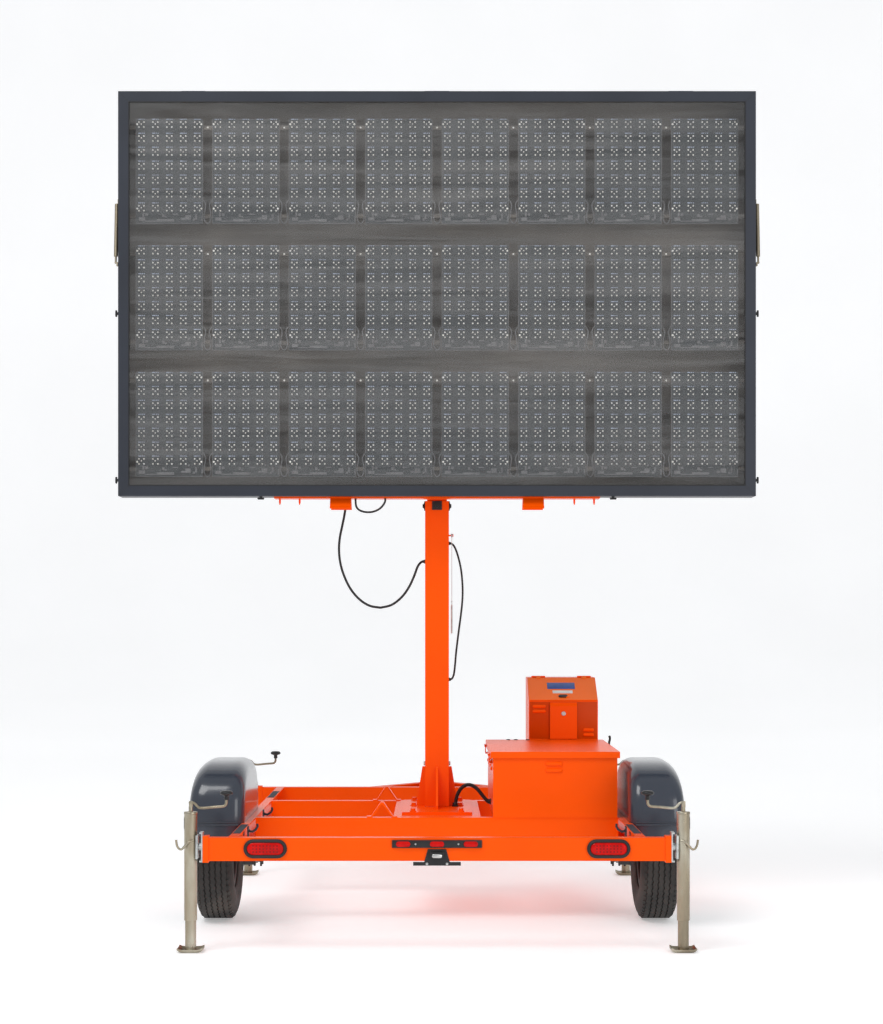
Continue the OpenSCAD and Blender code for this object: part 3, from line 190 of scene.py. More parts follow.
def add_block(bm, low, high, bevel=0.0):
    """A block between two corners, with its edges rounded off."""
    low, high = Vector(low), Vector(high)
    size = high - low
    place = Matrix.Translation((low + high) / 2) @ Matrix.Diagonal((*size, 1))
    made = bmesh.ops.create_cube(bm, size=1, matrix=place)["verts"]
    if bevel:
        edges = {edge for vert in made for edge in vert.link_edges}
        bmesh.ops.bevel(bm, geom=list(edges), offset=bevel, segments=2, profile=0.5, affect="EDGES")


def on_side(side, low, high):
    """Both corners of a block that is given for the right side."""
    x0, x1 = sorted((side * low[0], side * high[0]))
    return Vector((x0, *low[1:])), Vector((x1, *high[1:]))


def straight(start, end, steps=8):
    return [Vector(start).lerp(Vector(end), i / steps) for i in range(steps + 1)]


def smooth_path(points, steps=6):
    """A curve that passes through every point."""
    points = [Vector(p) for p in points]
    ends = [2 * points[0] - points[1], *points, 2 * points[-1] - points[-2]]
    path = []
    for a, b, c, d in zip(ends, ends[1:], ends[2:], ends[3:]):
        for k in range(steps):
            t = k / steps
            path.append(0.5 * (2 * b + (c - a) * t + (2 * a - 5 * b + 4 * c - d) * t * t
                               + (3 * b - a - 3 * c + d) * t ** 3))
    return path + [points[-1]]


def add_tube(bm, path, radius, sides=12):
    """A round bar along a path, with a frame that turns as little as it can."""
    count = len(path)
    ahead = [(path[min(i + 1, count - 1)] - path[max(i - 1, 0)]).normalized() for i in range(count)]
    side = ahead[0].orthogonal().normalized()
    rings = []
    for point, forward in zip(path, ahead):
        side = (side - forward * side.dot(forward)).normalized()
        up = forward.cross(side)
        rings.append([point + radius * (cos(tau * k / sides) * side + sin(tau * k / sides) * up)
                      for k in range(sides)])
    add_loft(bm, rings)


def stadium(length, height, steps=10):
    """An outline in X and Z with two flat sides and two round ends."""
    r = height / 2
    reach = length / 2 - r
    right = [(reach + r * sin(pi * i / steps), -r * cos(pi * i / steps)) for i in range(steps + 1)]
    return right + [(-x, -z) for x, z in right]


def add_pad(bm, centre, length, height, layers):
    """A stadium-shaped pad on a rear face: layers are (inset, how far it stands out) from its back."""
    rings = []
    for inset, out in layers:
        rings.append([Vector(centre) + Vector((x, -out, z))
                      for x, z in stadium(length - 2 * inset, height - 2 * inset)])
    add_loft(bm, rings)


def rear_head(name, profile, look, steps=8):
    """A small round head that faces the rear, about the origin."""
    bm = bmesh.new()
    add_lathe(bm, profile, (0, 0, 0), (0, -1, 0), steps)
    return finish_mesh(name, bm, FINISHES[look])


# ---------- repeats, by Geometry Nodes ----------

def new_tree(name, inputs):
    """An empty tree with geometry in and out, and an input for each (name, socket type, default)."""
    tree = bpy.data.node_groups.new(name, "GeometryNodeTree")
    tree.is_modifier = True
    tree.interface.new_socket("Geometry", in_out="INPUT", socket_type="NodeSocketGeometry")
    for label, kind, value in inputs:
        socket = tree.interface.new_socket(label, in_out="INPUT", socket_type=kind)
        if value is not None:
            socket.default_value = value
    tree.interface.new_socket("Geometry", in_out="OUTPUT", socket_type="NodeSocketGeometry")
    return tree, tree.nodes.new("NodeGroupInput"), tree.nodes.new("NodeGroupOutput")


def realise(tree, source, entry, exit_node):
    """Ends a tree: the copies become real, and take the piece's material."""
    real = tree.nodes.new("GeometryNodeRealizeInstances")
    paint = tree.nodes.new("GeometryNodeSetMaterial")
    tree.links.new(source, real.inputs[0])
    tree.links.new(real.outputs[0], paint.inputs["Geometry"])
    tree.links.new(entry.outputs["Material"], paint.inputs["Material"])
    tree.links.new(paint.outputs[0], exit_node.inputs[0])


def maths(tree, operation, first, second):
    """One sum: each side is a number or a socket."""
    node = tree.nodes.new("ShaderNodeMath")
    node.operation = operation
    for socket, value in zip(node.inputs, (first, second)):
        if isinstance(value, (int, float)):
            socket.default_value = value
        else:
            tree.links.new(value, socket)
    return node.outputs[0]


def grid_tree():
    """Repeats the geometry over an upright grid of columns and rows."""
    tree, entry, exit_node = new_tree("Upright grid", [
        ("Columns", "NodeSocketInt", 2), ("Rows", "NodeSocketInt", 2), ("Step X", "NodeSocketFloat", 0.1),
        ("Step Z", "NodeSocketFloat", 0.1), ("Centre", "NodeSocketVector", None),
        ("Material", "NodeSocketMaterial", None)])
    grid = tree.nodes.new("GeometryNodeMeshGrid")
    for axis, count, step in (("X", "Columns", "Step X"), ("Y", "Rows", "Step Z")):
        gaps = maths(tree, "SUBTRACT", entry.outputs[count], 1)
        tree.links.new(maths(tree, "MULTIPLY", gaps, entry.outputs[step]), grid.inputs[f"Size {axis}"])
        tree.links.new(entry.outputs[count], grid.inputs[f"Vertices {axis}"])
    stand = tree.nodes.new("GeometryNodeTransform")
    stand.inputs["Rotation"].default_value = (pi / 2, 0, 0)
    tree.links.new(grid.outputs["Mesh"], stand.inputs["Geometry"])
    tree.links.new(entry.outputs["Centre"], stand.inputs["Translation"])
    copies = tree.nodes.new("GeometryNodeInstanceOnPoints")
    tree.links.new(stand.outputs[0], copies.inputs["Points"])
    tree.links.new(entry.outputs["Geometry"], copies.inputs["Instance"])
    realise(tree, copies.outputs[0], entry, exit_node)
    return tree


def ring_tree():
    """Repeats the geometry evenly around the X axis through its centre."""
    tree, entry, exit_node = new_tree("Around an axle", [
        ("Count", "NodeSocketInt", 12), ("Centre", "NodeSocketVector", None),
        ("Material", "NodeSocketMaterial", None)])
    points = tree.nodes.new("GeometryNodePoints")
    tree.links.new(entry.outputs["Count"], points.inputs["Count"])
    tree.links.new(entry.outputs["Centre"], points.inputs["Position"])
    index = tree.nodes.new("GeometryNodeInputIndex")
    turn = maths(tree, "MULTIPLY", index.outputs[0], maths(tree, "DIVIDE", tau, entry.outputs["Count"]))
    angles = tree.nodes.new("ShaderNodeCombineXYZ")
    tree.links.new(turn, angles.inputs["X"])
    copies = tree.nodes.new("GeometryNodeInstanceOnPoints")
    tree.links.new(points.outputs[0], copies.inputs["Points"])
    tree.links.new(entry.outputs["Geometry"], copies.inputs["Instance"])
    tree.links.new(angles.outputs[0], copies.inputs["Rotation"])
    realise(tree, copies.outputs[0], entry, exit_node)
    return tree


def hose_tree():
    """Sweeps a ribbed hose along the geometry's edges."""
    tree, entry, exit_node = new_tree("Ribbed hose", [
        ("Radius", "NodeSocketFloat", 0.01), ("Rib step", "NodeSocketFloat", 0.004),
        ("Depth", "NodeSocketFloat", 0.15), ("Material", "NodeSocketMaterial", None)])
    curve = tree.nodes.new("GeometryNodeMeshToCurve")
    even = tree.nodes.new("GeometryNodeResampleCurve")
    even.mode = "LENGTH"
    girth = tree.nodes.new("GeometryNodeSetCurveRadius")
    skin = tree.nodes.new("GeometryNodeCurveToMesh")
    profile = tree.nodes.new("GeometryNodeCurvePrimitiveCircle")
    profile.inputs["Resolution"].default_value = 16
    skin.inputs["Fill Caps"].default_value = True
    index = tree.nodes.new("GeometryNodeInputIndex")
    parity = maths(tree, "MODULO", maths(tree, "FLOOR", maths(tree, "DIVIDE", index.outputs[0], 2), 0), 2)
    narrow = maths(tree, "MULTIPLY", parity, entry.outputs["Depth"])
    tree.links.new(entry.outputs["Geometry"], curve.inputs[0])
    tree.links.new(curve.outputs[0], even.inputs["Curve"])
    tree.links.new(maths(tree, "DIVIDE", entry.outputs["Rib step"], 4), even.inputs["Length"])
    tree.links.new(even.outputs[0], girth.inputs["Curve"])
    tree.links.new(maths(tree, "SUBTRACT", 1.0, narrow), girth.inputs["Radius"])
    tree.links.new(entry.outputs["Radius"], profile.inputs["Radius"])
    tree.links.new(girth.outputs[0], skin.inputs["Curve"])
    tree.links.new(profile.outputs[0], skin.inputs["Profile Curve"])
    scale = skin.inputs.get("Scale")
    if scale:
        radius = tree.nodes.new("GeometryNodeInputRadius")
        tree.links.new(radius.outputs[0], scale)
    realise(tree, skin.outputs[0], entry, exit_node)
    return tree


def run_tree(piece, tree, **values):
    """Puts a tree on a piece and sets its inputs by their sockets' identifiers."""
    modifier = piece.modifiers.new(tree.name, "NODES")
    modifier.node_group = tree
    for socket in tree.interface.items_tree:
        label = socket.name.lower().replace(" ", "_")
        if socket.in_out == "INPUT" and label in values:
            modifier[socket.identifier] = values[label]


def settle(piece, smooth=True):
    """Turns a piece and its modifiers into one plain mesh."""
    bpy.context.view_layer.update()
    graph = bpy.context.evaluated_depsgraph_get()
    mesh = bpy.data.meshes.new_from_object(piece.evaluated_get(graph))
    if not mesh.polygons:
        raise RuntimeError(f"{piece.name} came out empty")
    piece.modifiers.clear()
    piece.data = mesh
    shade_faces(mesh, smooth)
    return piece


TREE_MAKERS = {"grid": grid_tree, "ring": ring_tree, "hose": hose_tree}
TREES = {}


def repeat(piece, kind, **values):
    """Puts the tree of a kind on a piece, in the piece's own finish."""
    if kind not in TREES:
        TREES[kind] = TREE_MAKERS[kind]()
    run_tree(piece, TREES[kind], material=piece.data.materials[0], **values)


def on_grid(piece, columns, rows, step_x, step_z, centre):
    repeat(piece, "grid", columns=columns, rows=rows, step_x=step_x, step_z=step_z, centre=tuple(centre))


# ---------- finishes ----------

# Noise seldom leaves this range
NOISE_LOW, NOISE_HIGH = 0.3, 0.7
RELIEF_DEPTH = 0.4 * MM
COAT_ROUGHNESS = 0.08


def new_material(name):
    material = bpy.data.materials.new(name)
    material.use_nodes = True
    nodes = material.node_tree.nodes
    return material, nodes, material.node_tree.links, nodes["Principled BSDF"]


def noise(nodes, links, scale, stretch=(1, 1, 1), detail=4.0, slant=0.0, swirl=0.0):
    """Noise in the piece's own coordinates, stretched, and slanted about the Y axis."""
    place = nodes.new("ShaderNodeTexCoord")
    aim = nodes.new("ShaderNodeMapping")
    aim.inputs["Rotation"].default_value = (0, slant, 0)
    aim.inputs["Scale"].default_value = stretch
    texture = nodes.new("ShaderNodeTexNoise")
    texture.inputs["Scale"].default_value = scale
    texture.inputs["Detail"].default_value = detail
    texture.inputs["Distortion"].default_value = swirl
    links.new(place.outputs["Object"], aim.inputs["Vector"])
    links.new(aim.outputs[0], texture.inputs["Vector"])
    return texture.outputs["Fac"]


def ramp(nodes, links, source, stops):
    """Colours along a value: stops are (value, colour)."""
    node = nodes.new("ShaderNodeValToRGB")
    band = node.color_ramp
    while len(band.elements) < len(stops):
        band.elements.new(0.5)
    for element, (place, colour) in zip(band.elements, stops):
        element.position = place
        element.color = (*colour, 1)
    links.new(source, node.inputs[0])
    return node.outputs["Color"]


def spread(nodes, links, source, low, high):
    """Stretches noise over a range of values."""
    node = nodes.new("ShaderNodeMapRange")
    node.inputs["From Min"].default_value = NOISE_LOW
    node.inputs["From Max"].default_value = NOISE_HIGH
    node.inputs["To Min"].default_value = low
    node.inputs["To Max"].default_value = high
    links.new(source, node.inputs["Value"])
    return node.outputs[0]


def shade(colour, factor):
    """A darker or lighter colour."""
    return tuple(min(1.0, c * factor) for c in colour)


def finish(name, colour, rough, metal=0.0, vary=0.12, patch=3.0, grain=220.0, bump=0.02,
           stretch=(1, 1, 1), coat=0.0, spec=0.4, tint=None):
    """A surface whose colour drifts in patches and whose gloss and relief follow a fine grain."""
    material, nodes, links, shader = new_material(name)
    drift = noise(nodes, links, patch, stretch)
    fine = noise(nodes, links, grain, stretch, detail=3.0)
    dark, light = shade(colour, 1 - vary), tint or shade(colour, 1 + vary)
    links.new(ramp(nodes, links, drift, [(0.32, dark), (0.5, colour), (0.7, light)]),
              shader.inputs["Base Color"])
    links.new(spread(nodes, links, fine, *rough), shader.inputs["Roughness"])
    relief = nodes.new("ShaderNodeBump")
    relief.inputs["Strength"].default_value = bump
    relief.inputs["Distance"].default_value = RELIEF_DEPTH
    links.new(fine, relief.inputs["Height"])
    links.new(relief.outputs[0], shader.inputs["Normal"])
    shader.inputs["Metallic"].default_value = metal
    shader.inputs["Specular IOR Level"].default_value = spec
    shader.inputs["Coat Weight"].default_value = coat
    shader.inputs["Coat Roughness"].default_value = COAT_ROUGHNESS
    return material


def window_finish():
    """Clear sheet with a faint grey haze and fine slanting ripples, both painted reflections."""
    material, nodes, links, shader = new_material("window_sheet")
    # Painted reflection: the faint grey that the sheet shows
    painted_reflection_haze = noise(nodes, links, 0.9, (0.6, 1, 2.0), detail=5.0)
    links.new(ramp(nodes, links, painted_reflection_haze, [(0.35, (0.17, 0.175, 0.18)), (0.65, (0.27, 0.265, 0.26))]),
              shader.inputs["Base Color"])
    # Painted reflection: slanting streaks where the sheet is less clear and shows more of its grey
    painted_reflection_streaks = noise(nodes, links, 2.2, (0.35, 1, 5.5), detail=6.0, slant=radians(-17), swirl=1.4)
    links.new(spread(nodes, links, painted_reflection_streaks, 0.06, 0.25), shader.inputs["Alpha"])
    shader.inputs["Roughness"].default_value = 0.14
    shader.inputs["Specular IOR Level"].default_value = 0.2
    return material


FINISHES = {}


def looks(paint):
    """The colour, the range of roughness and what else sets each finish apart."""
    orange = tuple(paint.orange)
    return {
        "orange_paint": dict(colour=orange, rough=(0.24, 0.36), vary=0.05, patch=2.2, grain=420,
                             bump=0.06, spec=0.1),
        # Painted shade: a darker copy of the orange for the cabinet's rear face, for the shade under the
        # sloping flap's overhang
        "orange_shade": dict(colour=shade(orange, 0.62), rough=(0.3, 0.42), vary=0.08, patch=4,
                             grain=420, bump=0.06, spec=0.1),
        # Painted light: a brighter copy of the orange for the cabinet's sloping flap, for the light and
        # reflection that fall on it from above
        "orange_light": dict(colour=(1.0, 0.17, 0.012), rough=(0.24, 0.36), vary=0.05, patch=4,
                             grain=420, bump=0.06, spec=0.2),
        "weld": dict(colour=shade(orange, 0.86), rough=(0.3, 0.45), vary=0.1, patch=60, grain=600,
                     bump=0.2),
        "zinc": dict(colour=(0.33, 0.28, 0.20), rough=(0.26, 0.42), metal=0.9, vary=0.3, patch=7,
                     grain=160, stretch=(1, 1, 0.3), tint=(0.55, 0.53, 0.44), bump=0.05),
        "galvanised": dict(colour=(0.52, 0.53, 0.52), rough=(0.28, 0.45), metal=0.9, vary=0.2,
                           patch=40, grain=90, bump=0.06),
        "black_paint": dict(colour=(0.018, 0.018, 0.019), rough=(0.35, 0.5), vary=0.3, patch=8,
                            bump=0.1),
        "charcoal_coat": dict(colour=tuple(paint.charcoal), rough=(0.38, 0.5), patch=3, grain=700,
                              bump=0.15, metal=0.1),
        "slate_plastic": dict(colour=tuple(paint.slate), rough=(0.16, 0.26), vary=0.1, patch=4,
                              grain=90, bump=0.03, coat=0.4),
        "board_coat": dict(colour=tuple(paint.board), rough=(0.4, 0.6), vary=0.14, patch=5, grain=500,
                           bump=0.08),
        "backing": dict(colour=(0.15, 0.132, 0.112), rough=(0.45, 0.65), vary=0.3, patch=3, grain=60,
                        stretch=(0.5, 1, 3), bump=0.1),
        "lamp_white": dict(colour=(0.95, 0.93, 0.86), rough=(0.2, 0.3), vary=0.18, patch=30,
                           grain=200),
        "blue_white": dict(colour=(0.42, 0.48, 0.60), rough=(0.3, 0.4), vary=0.35, patch=24,
                           grain=200),
        "black_plastic": dict(colour=(0.012, 0.012, 0.013), rough=(0.32, 0.5), vary=0.25, patch=20,
                              grain=300, bump=0.15),
        "rubber": dict(colour=(0.014, 0.014, 0.015), rough=(0.5, 0.66), vary=0.2, patch=25, grain=500,
                       bump=0.15),
        "tyre_rubber": dict(colour=(0.028, 0.026, 0.024), rough=(0.6, 0.8), vary=0.3, patch=7,
                            grain=260, bump=0.3, tint=(0.06, 0.052, 0.045)),
        "grip": dict(colour=(0.03, 0.034, 0.045), rough=(0.7, 0.9), vary=0.3, patch=30, grain=900,
                     bump=0.8),
        "red_lens": dict(colour=(0.52, 0.004, 0.003), rough=(0.1, 0.18), vary=0.2, patch=40,
                         grain=150, coat=0.04, spec=0.12),
        "red_lamp": dict(colour=(0.16, 0.004, 0.004), rough=(0.15, 0.25), vary=0.15, patch=60,
                         grain=200),
        "steel": dict(colour=(0.55, 0.55, 0.54), rough=(0.25, 0.4), metal=1.0, vary=0.1, patch=12,
                      grain=200),
        "grey_case": dict(colour=(0.22, 0.23, 0.24), rough=(0.4, 0.55), vary=0.1, patch=8),
        "label": dict(colour=(0.72, 0.72, 0.69), rough=(0.35, 0.5), vary=0.05, patch=30),
        "blue_label": dict(colour=(0.03, 0.08, 0.30), rough=(0.3, 0.45), patch=30),
        "wire_grey": dict(colour=(0.17, 0.17, 0.175), rough=(0.4, 0.6), vary=0.2, patch=30),
    }


def make_finishes(paint):
    for name, look in looks(paint).items():
        FINISHES[name] = finish(name, **look)
    FINISHES["window"] = window_finish()


# The finish of each node that is shown as it was made
CAD_FINISHES = {
    "orange_paint": ["rear_beam", "front_beam", "crossmembers", "side_rails", "floor_plates", "rest_cradles",
                     "mast_base", "mast_outer", "battery_box", "control_cabinet", "tongue", "tongue_braces",
                     "mast_inner", "display_beam", "display_spine", "battery_lid"],
    # The flap's brighter orange is painted light from above
    "orange_light": ["cabinet_flap"],
    "grip": ["deck_fittings"],
    "black_plastic": ["mast_pads", "plate_bracket", "lid_latch"],
    "steel": ["lift_cylinder"],
    "black_paint": ["axle", "leaf_springs", "coupler"],
    "grey_case": ["batteries", "control_unit"],
    "galvanised": ["jack_mounts", "lock_pin", "coupler_latch"],
    "charcoal_coat": ["display_case", "display_door"],
    "zinc": ["strut_tubes", "strut_rods"],
    "window": ["door_glass"],
}


def show(piece, body, slot, *replaced):
    """Attaches a finished piece to what it rides on and hides the nodes it stands for; its slot is not used.
    """
    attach(piece, body)
    if replaced:
        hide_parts(*replaced)


class TRAILER_OT_finishes(bpy.types.Operator):
    """Make every finish and put one on each carried-over node"""
    bl_idname = "trailer.finishes"
    bl_label = "Finishes"

    def execute(self, context):
        make_finishes(context.scene.sign_trailer.paint)
        for name, nodes in CAD_FINISHES.items():
            for node in nodes:
                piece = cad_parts[node]
                if not piece.material_slots:
                    piece.data.materials.append(FINISHES[name])
                for place in piece.material_slots:
                    place.material = FINISHES[name]
        return {"FINISHED"}


# ---------- display ----------

# Size of a character board, and the distance from one to the next
BOARD = Vector((330, 12, 516)) * MM
BOARD_STEP_X = 377 * MM
BOARD_STEP_Z = 624 * MM
# How far the dots' middle lies above a board's
DOT_RISE = 23.5 * MM
BOARD_SCREWS = (316 * MM, 416 * MM)


def display_centre():
    """The middle of the boards' front."""
    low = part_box("display_boards")[0]
    return Vector((0, low.y, low.z + BOARD.z / 2 + BOARD_STEP_Z))


def add_lamp(bm, x, z, radius):
    add_lathe(bm, [(radius, 0), (radius, 0.7 * radius), (TIP, 1.6 * radius)], (x, 0, z), (0, -1, 0), 6)


def lamps_item(radius):
    """The four lamps of a dot and the smaller one among them."""
    bm = bmesh.new()
    half = 12.3 * MM
    for x in SIDES:
        for z in SIDES:
            add_lamp(bm, x * half, z * half, radius)
    add_lamp(bm, -0.6 * MM, 3 * MM, 0.8 * radius)
    return finish_mesh("pixel_lamps", bm, FINISHES["lamp_white"])


def resistors_item():
    """The short row of small parts above a dot's lamps."""
    bm = bmesh.new()
    for x, width in ((-9, 14), (4, 5.5), (13.5, 5.5)):
        add_block(bm, ((x - width / 2) * MM, -1.5 * MM, 24.5 * MM), ((x + width / 2) * MM, 0, 28.5 * MM))
    return finish_mesh("pixel_resistors", bm, FINISHES["blue_white"], smooth=False)


def controls_item():
    """The driver parts along a board's lower edge."""
    bm = bmesh.new()
    chips = [(-128, 44, 9, 20), (-112, 44, 14, 12), (-135, 22, 30, 16), (-30, 40, 12, 14), (-18, 34, 8, 8),
             (30, 46, 26, 5), (-20, 16, 84, 12), (68, 24, 18, 10), (92, 30, 26, 22), (96, 56, 9, 9),
             (122, 20, 10, 10), (132, 34, 8, 26), (161, 24, 6, 26), (-90, 12, 60, 4)]
    for x, z, width, height in chips:
        low = Vector((x - width / 2, 0, z - height / 2)) * MM
        high = Vector((x + width / 2, 0, z + height / 2)) * MM
        add_block(bm, low + Vector((0, -3 * MM, 0)), high)
    return finish_mesh("board_controls", bm, FINISHES["wire_grey"], smooth=False)


def edges_item(half):
    """The pale cut edge around a board."""
    bm = bmesh.new()
    rings = []
    for inset, out in ((-0.4, 0.0), (-0.4, 0.7), (1.6, 0.7), (1.6, 0.0)):
        x, z = half.x - inset * MM, half.z - inset * MM
        rings.append([Vector(p) for p in ((-x, -out * MM, -z), (x, -out * MM, -z), (x, -out * MM, z),
                                          (-x, -out * MM, z))])
    add_loft(bm, rings + rings[:1], caps=False)
    return finish_mesh("board_edges", bm, FINISHES["wire_grey"], smooth=False)


def wire_item():
    """A hanging loop of lead between one board and the next."""
    bm = bmesh.new()
    points = [(-24, 8, 118), (-16, 2, 108), (-9, -2, 88), (-15, -3, 56), (-17, -3, 26), (-10, -3, 6),
              (0, -3, 0), (10, -3, 6), (17, -3, 26), (15, -4, 56), (9, -5, 88), (16, -1, 108), (24, 8, 118)]
    add_tube(bm, smooth_path([Vector(p) * MM for p in points], 2), 2.6 * MM, 6)
    return finish_mesh("board_leads", bm, FINISHES["wire_grey"])


class TRAILER_OT_boards(bpy.types.Operator):
    """Draw the character boards with their lamps, parts, screws, leads and backing"""
    bl_idname = "trailer.boards"
    bl_label = "Character boards"

    def execute(self, context):
        values = context.scene.sign_trailer.display
        centre = display_centre()
        half = BOARD / 2
        foot = centre - Vector((0, 0, half.z))
        boards = (values.columns, values.lines, BOARD_STEP_X, BOARD_STEP_Z)
        gaps = (values.columns - 1, values.lines, BOARD_STEP_X, BOARD_STEP_Z)
        dots = (values.dot_columns, values.dot_rows, values.dot_step, values.dot_step)
        rise = (0, 0, DOT_RISE)
        bm = bmesh.new()
        add_block(bm, (-half.x, 0, -half.z), (half.x, BOARD.y, half.z), 1.5 * MM)
        sheet = finish_mesh("character_boards", bm, FINISHES["board_coat"])
        on_grid(sheet, *boards, centre)
        show(settle(sheet), "display", "board_green", "display_boards")
        for item in (lamps_item(values.lamp_radius), resistors_item()):
            on_grid(item, *dots, rise)
            self.lay_out(item, boards, centre)
        screws = rear_head("board_screws", [(5 * MM, 0), (5 * MM, 3 * MM), (TIP, 5 * MM)], "lamp_white")
        on_grid(screws, 2, 2, *BOARD_SCREWS, rise)
        self.lay_out(screws, boards, centre)
        self.lay_out(edges_item(half), boards, centre, smooth=False)
        ends = rear_head("rail_screws", [(5 * MM, 0), (4 * MM, 3 * MM), (TIP, 4 * MM)], "lamp_white")
        self.lay_out(ends, gaps, centre + Vector((0, BOARD.y, half.z - 40 * MM)))
        self.lay_out(controls_item(), boards, foot)
        self.lay_out(wire_item(), gaps, foot)
        self.rails(values, centre)
        self.backing()
        return {"FINISHED"}

    def lay_out(self, item, grid, centre, smooth=True):
        """Repeats an item over the boards, or over the gaps between them."""
        on_grid(item, *grid, centre)
        show(settle(item, smooth), "display", "board_green")

    def rails(self, values, centre):
        """The two rails that hold a line of boards."""
        low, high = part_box("display_boards")
        bm = bmesh.new()
        for line in range(values.lines):
            foot = centre.z + (line - (values.lines - 1) / 2) * BOARD_STEP_Z - BOARD.z / 2
            for rise in (30 * MM, BOARD.z - 50 * MM):
                add_block(bm, (low.x, low.y + BOARD.y, foot + rise), (high.x, high.y, foot + rise + 20 * MM),
                          2 * MM)
        show(finish_mesh("board_rails", bm, FINISHES["backing"]), "display", "board_green")

    def backing(self):
        """The lining just in front of the case's back wall."""
        low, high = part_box("display_case")
        wall = 4 * MM
        bm = bmesh.new()
        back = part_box("display_spine")[0].y - wall
        top = high.z - 10 * MM
        add_block(bm, (low.x + wall, back - 3 * MM, low.z + wall), (high.x - wall - 4 * MM, back, top - wall),
                  1 * MM)
        show(finish_mesh("case_lining", bm, FINISHES["backing"]), "display", "charcoal_aluminium")


def add_corner_seam(bm, corner, inward, face_y, reach):
    """A thin raised line across a mitred corner of the door."""
    along = Vector((inward[0], 0, inward[1])) * reach
    side = Vector((inward[0], 0, -inward[1])).normalized() * 0.7 * MM
    start = Vector((corner[0], face_y, corner[1]))
    ring = [start - side, start + side, start + along + side, start + along - side]
    add_loft(bm, [ring, [p + Vector((0, -0.5 * MM, 0)) for p in ring]])


class TRAILER_OT_window(bpy.types.Operator):
    """Draw the window's rubber seal and the door's mitred corners"""
    bl_idname = "trailer.window"
    bl_label = "Window trim"

    def execute(self, context):
        low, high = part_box("display_door")
        top = high.z - 11 * MM
        face = 50 * MM
        edge = high.x - 4.8 * MM
        x, z0, z1 = edge - face, low.z + face, top - face
        bm = bmesh.new()
        rings = []
        for inset, out in ((0, 2.5), (0, -0.8), (2.5, -1.2), (5, 0.5), (5, 2.5)):
            i = inset * MM
            y = low.y + out * MM
            rings.append([Vector(p) for p in ((-x + i, y, z0 + i), (x - i, y, z0 + i),
                                              (x - i, y, z1 - i), (-x + i, y, z1 - i))])
        add_loft(bm, rings + rings[:1], caps=False)
        show(finish_mesh("window_seal", bm, FINISHES["rubber"]), "door", "charcoal_aluminium")
        bm = bmesh.new()
        for side in SIDES:
            add_corner_seam(bm, (side * edge, low.z), (-side, 1), low.y, face)
            add_corner_seam(bm, (side * edge, top), (-side, -1), low.y, face)
        show(finish_mesh("door_mitres", bm, FINISHES["black_paint"], smooth=False), "door",
             "charcoal_aluminium")
        return {"FINISHED"}


KNOB_HEIGHT = 16.5 * MM
KNOB_LENGTH, KNOB_WIDTH = 34, 16


class TRAILER_OT_knobs(bpy.types.Operator):
    """Draw the two-lobed knobs that clamp the window door"""
    bl_idname = "trailer.knobs"
    bl_label = "Door knobs"

    def execute(self, context):
        for node in [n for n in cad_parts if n.startswith("knob_")]:
            self.knob(node)
        return {"FINISHED"}

    def knob(self, node):
        """A hub with a two-lobed grip; the lobes stand upright on the sides and lie across underneath."""
        low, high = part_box(node)
        base = (low + high) / 2
        if "bottom" in node:
            outward, lobes = Vector((0, 0, -1)), Vector((1, 0, 0))
            base.z = low.z + KNOB_HEIGHT
        elif base.x > 0:
            outward, lobes = Vector((1, 0, 0)), Vector((0, 0, 1))
            base.x = high.x - KNOB_HEIGHT
        else:
            outward, lobes = Vector((-1, 0, 0)), Vector((0, 0, 1))
            base.x = low.x + KNOB_HEIGHT
        across = outward.cross(lobes)
        bm = bmesh.new()
        hub = [(TIP, 0.6), (7.9, 0.6), (7.6, 3), (6.5, 7.6), (TIP, 7.6)]
        add_lathe(bm, mm(hub), base, outward, 20)
        rings = []
        for out, inset in ((7, 2.5), (8.5, 0.7), (11, 0), (14, 0.3), (15.8, 1.6), (16.5, 4)):
            outline = stadium((KNOB_LENGTH - 2 * inset) * MM, (KNOB_WIDTH - 2 * inset) * MM)
            rings.append([base + outward * out * MM + lobes * u + across * v for u, v in outline])
        add_loft(bm, rings)
        show(finish_mesh(node + "_grip", bm, FINISHES["black_plastic"]), node, "black_plastic", node)


# ---------- cables ----------

# Each route's points, in millimetres, as at() takes them
CONDUIT = [(92, 1400, 522), (96, 1400, 548), (104, 1398, 578), (118, 1394, 604), (138, 1388, 622),
           (162, 1382, 628), (186, 1376, 620), (206, 1370, 604), (224, 1366, 582), (240, 1364, 562),
           (254, 1363, 548), (262, 1363, 546), (270, 1363, 545.5)]
MAST_LEAD = [(60, 1440, 1846), (70, 1440, 1846), (84, 1440, 1836), (97, 1440, 1810), (109, 1440, 1772),
             (120, 1440, 1724), (127, 1440, 1668), (130, 1440, 1610), (128, 1440, 1550), (121, 1440, 1484),
             (112, 1440, 1416), (103, 1440, 1346), (96, 1440, 1284), (91, 1440, 1226), (86, 1440, 1186),
             (78, 1440, 1164), (68, 1440, 1157), (60, 1440, 1157)]
UPPER_LEAD = [(-446, 1255.5, 2206), (-446, 1268, 2206), (-446, 1282, 2201), (-446, 1292, 2190),
              (-447, 1298, 2172), (-448, 1300, 2130), (-451, 1299, 2080), (-456, 1297, 2030),
              (-463, 1295, 1980), (-474, 1294, 1926), (-486, 1296, 1866), (-490, 1303, 1806),
              (-484, 1314, 1744), (-466, 1330, 1680), (-434, 1346, 1614), (-390, 1362, 1562),
              (-340, 1380, 1530), (-285, 1394, 1520)]
